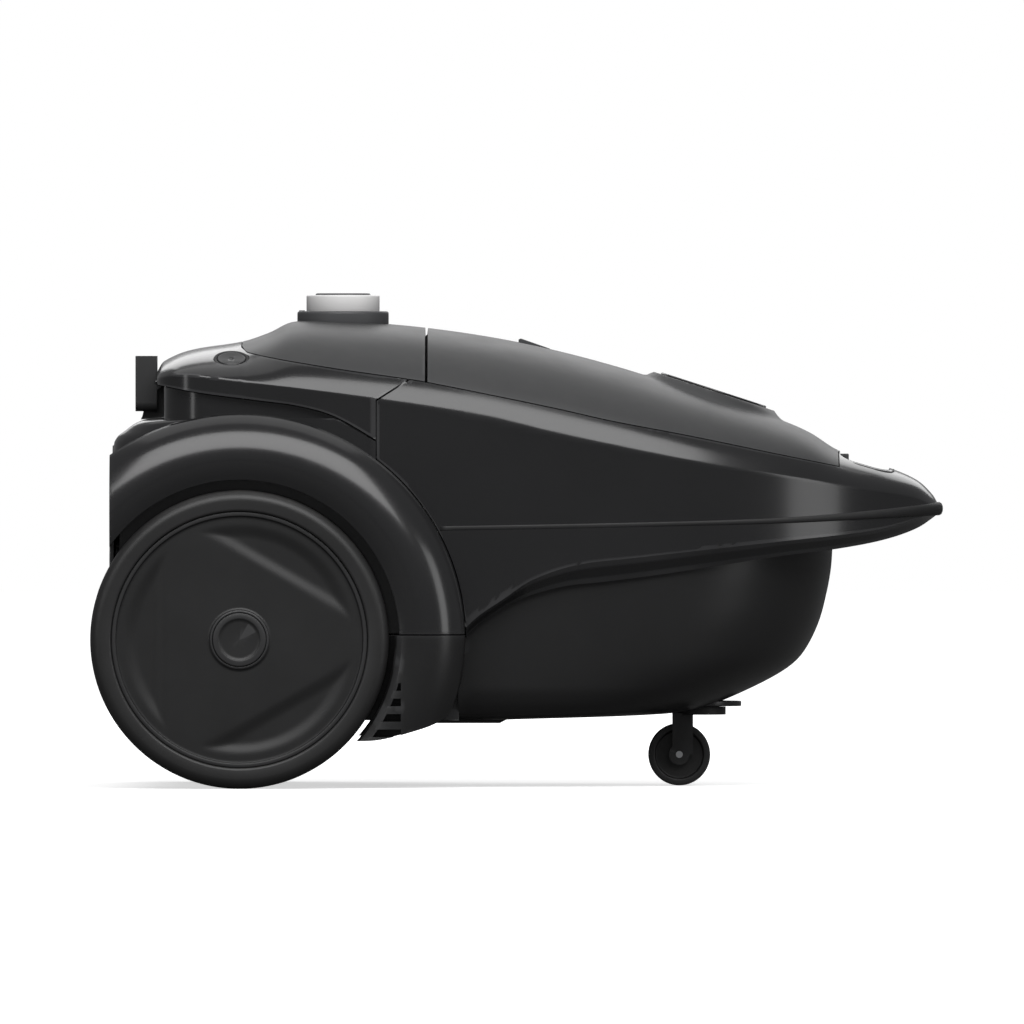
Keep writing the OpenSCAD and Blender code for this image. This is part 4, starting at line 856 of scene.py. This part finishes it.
SIDE_COLS, CORNER_COLS, BACK_COLS = 26, 12, 10
OUTLINE_COLS = 2 * (SIDE_COLS + CORNER_COLS) + BACK_COLS
def tail_point(back, front, half, r, col):
    """A place on an outline seen from above, from its near front end round the back to the far front end."""
    side = -1 if 2 * col <= OUTLINE_COLS else 1
    col = min(col, OUTLINE_COLS - col)
    if col <= SIDE_COLS:
        x, y = front + (back + r - front) * col / SIDE_COLS, half
    elif col <= SIDE_COLS + CORNER_COLS:
        a = math.radians(90) * (col - SIDE_COLS) / CORNER_COLS
        x, y = back + r - r * math.sin(a), half - r + r * math.cos(a)
    else:
        x, y = back, (half - r) * (1 - 2 * (col - SIDE_COLS - CORNER_COLS) / BACK_COLS)
    return x, side * y

# %% The housing's net: wall, deck and the neck under the hood
wall_rows = smooth_run(HOUSING, 5)
HOUSING_ROWS = len(wall_rows) + 7
FRONT_Z, SLOPE_FROM = 199.8, -105
def deck_height(x):
    return min(DECK_Z, DECK_Z + (FRONT_Z - DECK_Z) * (x - SLOPE_FROM) / (HOOD_X - SEAM / 2 - SLOPE_FROM))

def housing_place(share, col):
    row = round(share * HOUSING_ROWS)
    if row < len(wall_rows):
        dx, rise = wall_rows[row]
        x, y = tail_point(REAR_X + dx, HOOD_X - SEAM / 2, FULL_W, 30, col)
        return x, y, BASE_Z + rise * (deck_height(x) - BASE_Z) / (DECK_Z - BASE_Z)
    inner = (row - len(wall_rows) + 1) / 4
    x, y = tail_point(REAR_X + wall_rows[-1][0], HOOD_X - SEAM / 2, FULL_W - 7 * min(inner, 1),
                      30 - 4 * min(inner, 1), col)
    low = deck_height(x)
    high = max(curve(HOOD_LINE, x - SPLIT) - SEAM, low)
    return x, y, low + (high - low) * max(inner - 1, 0)

housing = bmesh.new()
grid(housing, HOUSING_ROWS, OUTLINE_COLS, housing_place)
rear_shell = thicken(as_object("rear_shell_skin", facing(closed_up(housing, 0.03), (-1, 0, 0))), WALL)

# %% An arch, its louvres and its well
WELL_IN, WELL_Y = 97, 100
ARCH_ARC, ARCH_CENTRE_R, ARCH_RISE = 30, 104, 112
AXLE_BORE = 12.4

def arch_ring(side):
    start, end = (math.degrees(math.acos((r - ARCH_CENTRE_R) / ARCH_ARC)) for r in (ARCH_IN, ARCH_OUT))
    outline = ([(ARCH_IN, WELL_IN)] + arc(ARCH_CENTRE_R, ARCH_RISE, ARCH_ARC, start, end, 18)
               + [(ARCH_OUT, WELL_IN)])
    bm = bmesh.new()
    turned(bm, [(r, side * y) for r, y in outline], lying(AXLE, 0), 144)
    return bm

def well_disc(bm, side):
    ring = ((AXLE_BORE, WELL_IN), (ARCH_IN + 3, WELL_IN), (ARCH_IN + 3, WELL_Y), (AXLE_BORE, WELL_Y))
    turned(bm, [(r, side * y) for r, y in ring], lying(AXLE, 0), 96)
    return bm

def sliced(bm, place, away):
    """Keeps what lies behind a plane and closes the cut."""
    cut = bmesh.ops.bisect_plane(bm, geom=bm.verts[:] + bm.edges[:] + bm.faces[:], plane_co=Vector(place) * MM,
                                 plane_no=away, clear_outer=True)["geom_cut"]
    bmesh.ops.holes_fill(bm, edges=[e for e in cut if isinstance(e, bmesh.types.BMEdge)])
    return bm

def well_cutter(side):
    return rod(ARCH_IN, *across(side, WELL_Y, 170), lying(AXLE, 0), 144)

CORD_R, CORD_AT = 9, (46, 188)
carve(rear_shell, well_cutter(-1), well_cutter(1), block(-245, -226, -62.4, 62.4, 100.2, 171),
      rod(CORD_R, -245, -226, at((0, *CORD_AT)) @ Matrix.Rotation(math.radians(90), 4, "Y")))
upper_arches = []
for side in (-1, 1):
    ring = sliced(well_disc(arch_ring(side), side), (0, 0, BASE_Z + SEAM / 2), (0, 0, -1))
    ring = sliced(ring, (REAR_X + 0.5, 0, 0), (-1, 0, 0))
    bmesh.ops.recalc_face_normals(ring, faces=ring.faces)
    upper_arches.append(as_object("arch", ring))
soften(rear_shell, 0.6)
upper_arches = soften(join("arches", *upper_arches), 0.8)
fit(soften(join("rear_shell_skin", rear_shell, upper_arches), 0), "body", "shell_gloss", "rear_shell")

# %% [markdown]
# ## Tub
# The tub is two forms in one: a box under the motor and the reel, and ahead of it a tank like the bow of a
# boat that holds the dust bag. The bow's outline shrinks towards the floor.

# %% The tank
TANK_FRONT = [(39, 60), (40.5, 118), (42.6, 149), (52.8, 179.5), (69, 210.5), (81, 220.5), (96, 227.5),
              (108, 230.7), (125, 234), (140, 235)]
TANK_SIDE = [(39, -17), (41, -9), (46, -4), (52, -1.2), (58, 0), (140, 0.4)]
BELLY_Z, TANK_BACK, TANK_U, TANK_IN = 39, 18, 235, 12.6
TANK_ROWS, TANK_COLS = 48, 44

def tank_front(z):
    ease = min((z - BELLY_Z) / 4, 5)
    return sum(curve(TANK_FRONT, z + ease * k) for k in (-1, -0.5, 0, 0.5, 1)) / 5

def tank_point(z, s):
    u = TANK_BACK + (tank_front(z) - TANK_BACK) * s
    width = plan_w(TANK_BACK + (TANK_U - TANK_BACK) * s * 0.86) - TANK_IN + curve(TANK_SIDE, z)
    return u, width * math.sqrt(max(1 - s ** 6, 0))

@functools.lru_cache(maxsize=None)
def tank_top(s):
    z = 120
    for _ in range(30):
        z = curve(EDGE, tank_point(z, s)[0]) + 4
    return z

def tank_place(share, col):
    side = -1 if col <= TANK_COLS else 1
    s = math.sin(math.radians(90) * min(col, 2 * TANK_COLS - col) / TANK_COLS)
    z = BELLY_Z + (tank_top(s) - BELLY_Z) * share ** 2.2
    u, y = tank_point(z, s)
    return SPLIT + u, side * y, z

def bottom_closed(bm, z):
    """Joins the two ends of a net's lowest edge and closes it."""
    rim = [v for v in bm.verts if v.is_boundary and abs(v.co.z - z * MM) < 0.02 * MM]
    ends = [v for v in rim if sum(e.is_boundary and e.other_vert(v) in rim for e in v.link_edges) == 1]
    bm.edges.new(ends)
    bmesh.ops.holes_fill(bm, edges=list({e for v in rim for e in v.link_edges if e.other_vert(v) in rim}))
    return bm

tank = bmesh.new()
grid(tank, TANK_ROWS, 2 * TANK_COLS, tank_place)
tank_skin = as_object("tank", facing(bottom_closed(closed_up(tank, 0.02), BELLY_Z), (1, 0, 0)))
thicken(tank_skin, WALL)
CASTER, CASTER_CUP_R = Vector((SPLIT + 158, 0, 0)), 21
carve(tank_skin, rod(CASTER_CUP_R, 20, 46, at(CASTER)))
soften(tank_skin, 0.6)

# %% The box, its arches and the louvres
BOX_ROWS = [(20, 39), (19.2, 39.3), (12.6, 44.4), (11.6, 45.8), (0.6, 68.8), (0, 70.6), (0, 88.3)]
BOX_FRONT = -34.2

def box_place(share, col):
    dx, z = BOX_ROWS[round(share * (len(BOX_ROWS) - 1))]
    x, y = tail_point(REAR_X + dx, BOX_FRONT, WELL_Y, 24, col)
    return x, y, z
box = bmesh.new()
grid(box, len(BOX_ROWS) - 1, OUTLINE_COLS, box_place)
bmesh.ops.holes_fill(box, edges=box.edges)
box_solid = soften(as_object("box", closed_up(box, 0.02)), 0.8)

FOOT_LINE = [(-105.5, 27.4), (-92, 27.4), (-79.5, 28.2), (-61.5, 32.6), (-46, 38.4), (-37.5, 47.5), (-30.5, 70)]
ARCH_FOOT = smooth_run(FOOT_LINE, 5) + [(-30.5, 88.3), (-105.5, 88.3)]
LIP_LINE = ((89.5, 100.5), (89.5, 138), (90.6, 139.4), (95, 140.4), (95, 100.5))
LOUVRES = [29.8 + 8.9 * i for i in range(4)]
lower_arches = []
for side in (-1, 1):
    part = as_object("lower_arch", arch_ring(side))
    carve(part, prism(ARCH_FOOT, -150, 150), operation="INTERSECT")
    carve(part, *[block(-100.5, -67.5, *across(side, 115, 170), z, z + 4.4) for z in LOUVRES])
    lip_ring = bmesh.new()
    turned(lip_ring, [(r, side * y) for r, y in LIP_LINE], lying(AXLE, 0), 144)
    lip_part = carve(as_object("lip", lip_ring), prism(ARCH_FOOT, -150, 150), operation="INTERSECT")
    lower_arches += [part, lip_part]
lower_arches = soften(join("lower_arches", *lower_arches), 0.7)

fittings = bmesh.new()
for side in (-1, 1):
    boss = ((5.05, 84), (12, 84), (12, 100), (5.05, 100))
    turned(fittings, [(r, side * y) for r, y in boss], lying(AXLE, 0), 48)
turned(fittings, [(4.05, 46), (24, 46), (24, 49), (9, 49), (9, 68), (4.05, 68)], at(CASTER), 48)
fittings = soften(as_object("fittings", fittings), 0.4)
base_tub = join("base_tub_skin", tank_skin, box_solid, lower_arches, fittings)
fit(soften(base_tub, 0), "body", "tub_plastic", "base_tub")

# %% [markdown]
# ## Bumper strip
# A soft strip lies in the shell's groove, thin along the side and thick round the nose. Its cross-section
# is carried along the groove with the direction square to the path.

# %% The strip
STRIP_FROM = 7.5
def strip_path(share):
    start = math.degrees(math.asin((STRIP_FROM - FULL) / (NOSE - FULL)))
    angle = start + (180 - 2 * start) * share
    u = FULL + (NOSE - FULL) * math.sin(math.radians(angle))
    tip = abs(angle - 90) < 0.01
    y = 0 if tip else math.copysign(plan_w(u), angle - 90)
    return Vector((SPLIT + (NOSE if tip else u), y, curve(GROOVE, u)))

def strip_place(share, col):
    at = strip_path(share)
    ahead = strip_path(min(share + 0.004, 1)) - strip_path(max(share - 0.004, 0))
    out = Vector((ahead.y, -ahead.x, 0)).normalized()
    far_on = max((at.x - SPLIT - FULL) / (NOSE - FULL), 0)
    half = 1.25 + 2.6 * far_on ** 5
    proud = 0.3 + 1.68 * far_on ** 4
    bulge, rise = [(0, -1), (0.6, -0.8), (0.93, -0.4), (1, 0), (0.93, 0.4), (0.6, 0.8), (0, 1), (None, 1),
                   (None, -1)][(col + 8) % 9]
    depth = -1.6 if bulge is None else proud * bulge
    return at + out * depth + Vector((0, 0, rise * half))

strip = bmesh.new()
grid(strip, 240, 9, strip_place)
closed_up(strip, 0.005)
bmesh.ops.holes_fill(strip, edges=strip.edges)
bmesh.ops.recalc_face_normals(strip, faces=strip.faces)
piece("bumper_strip_skin", strip, "body", "soft_black", "bumper_strip")

# %% [markdown]
# ## Wheels
# Seen from the side a rear wheel is a tyre, a bright rim line, and a face with three shallow segments
# between soft arms. One closed outline is spun round the axle, and the face is pressed in where the
# segments are.

# %% Wheel, tyre and cap
WHEEL_Y = 106
TYRE_IN, FACE, CAP_R = 74, 40.4, 15.4
WHEEL_STEPS = 168
face_line = [(17.6 + (70.6 - 17.6) * k / 46, FACE) for k in range(47)]
WHEEL_LINE = ([(CAP_R, 36), (CAP_R, 41.4), (CAP_R + 0.4, 41.9), (16.6, 41.9), (17.3, 41.2)] + face_line
              + [(71, 40.7), (71.2, 41.6), (71.7, 42), (73.2, 42), (73.8, 41.6), (TYRE_IN, 41),
                 (TYRE_IN, 0.4), (73.6, 0), (70.4, 0), (70, 0.4), (70, 34), (68, 36)])

def pressed(r, angle):
    """How deep a wheel's face is pressed in: nothing on the arms, most in the middle of a segment."""
    depth = 0.0
    for middle in (60, 180, 300):
        off = math.radians(angle - middle)
        inside = min(66.7 - r, r * math.cos(off) - 42)
        share = min(max(inside / 8, 0), 1)
        depth = max(depth, 1.5 * share * share * (3 - 2 * share))
    return depth

def spun(line, side, steps, press=None):
    bm = bmesh.new()
    def place(share, col):
        r, h = line[col % len(line)]
        angle = 360 * (round(share * steps) % steps) / steps
        h -= press(r, angle) if press and FACE - 0.1 < h < FACE + 0.1 else 0
        turn = math.radians(angle)
        return AXLE.x + r * math.cos(turn), side * (WHEEL_Y + h), AXLE.z + r * math.sin(turn)
    grid(bm, steps, len(line), place)
    return closed_up(bm, 0.005)

TYRE_LINE = ([(TYRE_IN, 0.6), (TYRE_IN + 0.6, 0)] + arc(80, 6, 6, -90, 0, 8)
             + [(85.6, 12), (85.1, 12.5), (85.1, 14), (85.6, 14.5), (86, 15), (86, 29), (85.6, 29.5), (85.1, 30),
                (85.1, 31.5), (85.6, 32)]
             + arc(80, 38, 6, 0, 90, 8) + [(75.5, 44), (TYRE_IN + 0.3, 43.4), (TYRE_IN, 42.6)])
CAP_LINE = [(0.02, 38.2), (CAP_R - 0.05, 38.2), (CAP_R - 0.05, 42.6), (CAP_R - 0.5, 43.1), (12.5, 43.1),
            (11.9, 42.9), (11.5, 42.3), (10, 42.1), (0.02, 42.1)]
for side, name, body in ((-1, "right", "right_rear_wheel"), (1, "left", "left_rear_wheel")):
    tyre, wheel = spun(TYRE_LINE, side, WHEEL_STEPS), spun(WHEEL_LINE, side, WHEEL_STEPS, pressed)
    piece(name + "_tyre_turned", tyre, body, "tyre", name + "_tyre")
    piece(name + "_wheel_turned", wheel, body, "wheel_black", name + "_wheel")
    piece(name + "_cap_turned", spun(CAP_LINE, side, 96), body, "wheel_black", name + "_hub_cap")

# %% [markdown]
# ## Controls
# The white ring and its grey cap turn together on a collar, and a small pointer on the collar shows the
# setting. Two round foot buttons stand in bezels on the slanted sides of the hood.

# %% Knob and collar
KNOB_Z, KNOB_R, CAP_KNOB_R = 274.3, 21.2, 16
at_knob = at((KNOB_X, 0, 0))
ring = bmesh.new()
turned(ring, [(CAP_KNOB_R + 0.03, KNOB_Z), (KNOB_R, KNOB_Z), (KNOB_R, KNOB_Z + 8.7)]
       + arc(KNOB_R - 1.1, KNOB_Z + 9.0, 1.1, 10, 90, 6)
       + [(CAP_KNOB_R + 0.6, KNOB_Z + 10.1), (CAP_KNOB_R + 0.03, KNOB_Z + 9.6)],
       at_knob, 144)
piece("knob_ring_turned", ring, "knob", "knob_white", "knob_ring")

cap = bmesh.new()
turned(cap, [(0.02, KNOB_Z), (CAP_KNOB_R, KNOB_Z), (CAP_KNOB_R, KNOB_Z + 9.8)]
       + arc(CAP_KNOB_R - 1.2, KNOB_Z + 9.9, 1.2, 10, 90, 5)
       + [(8, KNOB_Z + 11.1), (0.02, KNOB_Z + 11.1)], at_knob, 96)
turned(cap, [(0.02, KNOB_Z - 7), (3, KNOB_Z - 7), (3, KNOB_Z), (0.02, KNOB_Z)], at_knob, 32)
piece("knob_cap_turned", cap, "knob", "collar_grey", "knob_cap")

collar = bmesh.new()
turned(collar, [(5, 262), (COLLAR_R - 3.1, 262), (COLLAR_R - 3.1, 265), (COLLAR_R, 265), (COLLAR_R, 273.4)]
       + arc(COLLAR_R - 1.4, 273.6, 1.4, 0, 90, 5)
       + [(KNOB_R + 1, 275), (KNOB_R + 0.35, 274.6), (KNOB_R + 0.35, 274), (5, 274)],
       at_knob, 144)
pointer = soften(as_object("pointer", block(-127, -123.6, -1, 1, 274.6, 275.5)), 0.25)
collar = join("knob_collar_turned", as_object("collar", collar), pointer)
fit(soften(collar, 0), "body", "collar_grey", "knob_collar")

# %% Foot buttons and their bezels
BUTTON_R = 8.2
BUTTON_LINE = ([(0.02, -6), (BUTTON_R, -6), (BUTTON_R, -0.1)] + arc(BUTTON_R - 0.7, -0.1, 0.7, 0, 80, 5)
               + [(5.5, 0.3), (3, 0.1), (0.02, 0)])
BEZEL_LINE = [(BUTTON_R + 0.25, -8), (BEZEL_R - 0.05, -8), (BEZEL_R - 0.05, -0.2), (BEZEL_R - 0.25, 0.25),
              (BEZEL_R - 0.7, 0.4), (BUTTON_R + 0.9, 0.4), (BUTTON_R + 0.35, 0.1), (BUTTON_R + 0.25, -0.4)]
bezels = bmesh.new()
for side, name in ((-1, "power_button"), (1, "rewind_button")):
    button = bmesh.new()
    turned(button, BUTTON_LINE, at_button(side), 72)
    turned(button, [(0.02, -13), (3, -13), (3, -6), (0.02, -6)], at_button(side), 24)
    piece(name + "_turned", button, name, "shell_gloss", name)
    turned(bezels, BEZEL_LINE, at_button(side), 72)
piece("bezels_turned", bezels, "body", "matt_black", "button_bezels")

# %% Hose socket ring
ring = bmesh.new()
turned(ring, [(22, 0), (32, 0), (32, 0.5)] + arc(31.2, 0.4, 0.8, 0, 90, 4)
       + [(23.2, 1.2), (22.4, 0.9), (22, 0.3)], at_inlet, 120)
piece("socket_ring_turned", ring, "lid", "shell_gloss", "hose_socket_ring")

# %% [markdown]
# ## Dust bag
# A filled paper bag is never a clean solid. Its form is netted evenly and blown up a little as cloth with
# its mouth held, so that the seams pull in and the sides swell. No point moves more than a cap, so it stays
# clear of the tub.

# %% The bag, blown up
BAG_NET, BAG_CAP, BAG_FRAMES, MOUTH_R = 5.0, 1.8, 20, 27
bag_mesh = bmesh.new()
bag_mesh.from_mesh(nodes["dust_bag"].data)
dust_bag = as_object("dust_bag_soft", closed_up(bag_mesh, 0.02))
net = dust_bag.modifiers.new("net", "REMESH")
net.mode, net.voxel_size = "VOXEL", BAG_NET * MM
settle(dust_bag)
at_rest = [v.co.copy() for v in dust_bag.data.vertices]
mouth = dust_bag.vertex_groups.new(name="mouth")
hose_line = Vector((math.sin(TILT), 0, math.cos(TILT)))
held = [v.index for v in dust_bag.data.vertices
        if (v.co / MM - INLET).cross(hose_line).length < MOUTH_R and v.co.z > 160 * MM]
mouth.add(held, 1.0, "REPLACE")
cloth = dust_bag.modifiers.new("cloth", "CLOTH")
cloth.settings.vertex_group_mass = "mouth"
cloth.settings.use_pressure, cloth.settings.uniform_pressure_force = True, 4.0
cloth.settings.effector_weights.gravity = 0.0
cloth.settings.tension_stiffness, cloth.settings.bending_stiffness = 12, 1.5
cloth.point_cache.frame_end = BAG_FRAMES
for frame_number in range(1, BAG_FRAMES + 1):
    scene.frame_set(frame_number)
settle(dust_bag)
scene.frame_set(1)
for v, rest in zip(dust_bag.data.vertices, at_rest):
    move = v.co - rest
    v.co = rest + move * min(1.0, BAG_CAP * MM / max(move.length, 1e-9))
print(len(held), "points of the mouth were held")
fine = dust_bag.modifiers.new("fine", "SUBSURF")
fine.levels = fine.render_levels = 1
fit(dust_bag, "body", "bag_paper", "dust_bag")

# %% [markdown]
# ## The pieces that stay as engineered
# Everything else keeps its engineering mesh. A weld joins its corners, a fine round breaks its edges, and
# weighted normals keep the flats flat, which is all that a small or hidden piece needs.

# %% Posts behind the lid's seam, and the remaining pieces dressed
posts = [as_object("post", block(-54.2, -36, *across(side, 18, 22), 225, 254.5)) for side in (-1, 1)]
fit(soften(join("hinge_posts", *posts), 0.4), "body", "inner_plastic")

ROUNDS = {"parking_bracket": 0.8, "belly_plate": 0.8, "caster_wheel": 0.8,
          **dict.fromkeys(("exhaust_cover", "indicator_window", "caster_fork", "fan_housing", "motor_can"), 0.5),
          **dict.fromkeys(("hose_socket", "lid_latch", "cord_outlet", "bag_holder", "bulkhead", "reel_drum",
                           "reel_frame", "inner_deck"), 0.4)}
HAIRLINE = 0.15
for node_name, carried in nodes.items():
    if carried.hide_render:
        continue
    weld = carried.modifiers.new("weld", "WELD")
    weld.merge_threshold = 0.005 * MM
    soften(carried, ROUNDS.get(node_name, HAIRLINE), 38, 2)
print(sum(not carried.hide_render for carried in nodes.values()), "engineered pieces dressed")

# %% [markdown]
# ## Floor and finish
# The floor is a plain pale sheet to the camera only. To every other ray it is dark grey, a painted shade that
# keeps light off the belly and darkens what the underside reflects. It gives off a little light of its own, so
# it stays white to the horizon and only the shade under the wheels and the tub shows on it.

# %% Floor
floor_mesh = bmesh.new()
bmesh.ops.create_grid(floor_mesh, x_segments=1, y_segments=1, size=12)
floor = as_object("floor", floor_mesh)
paper_white = bpy.data.materials.new("paper_white")
paper_white.use_nodes = True
sheet = Graph(paper_white.node_tree)
shader = paper_white.node_tree.nodes["Principled BSDF"]
shader.inputs["Roughness"].default_value = 0.9
seen = sheet.node("LightPath").outputs["Is Camera Ray"]
where = sheet.node("TexCoord").outputs["Object"]
pale = sheet.mix(sheet.noise(where, 3.0), (0.90, 0.90, 0.90, 1), (0.94, 0.94, 0.94, 1))
# painted shade: the camera sees the pale floor, every other ray sees dark grey
sheet.put(sheet.mix(seen, (0.10, 0.10, 0.10, 1), pale), shader.inputs["Base Color"])
away = sheet.node("VectorMath", operation="LENGTH")
sheet.put(where, away.inputs[0])
shader.inputs["Emission Color"].default_value = (1, 1, 1, 1)
glow = sheet.span(away.outputs["Value"], 0.5, 1.6, 0.60, 1.0)
sheet.put(sheet.times(seen, glow), shader.inputs["Emission Strength"])
floor.data.materials.append(paper_white)
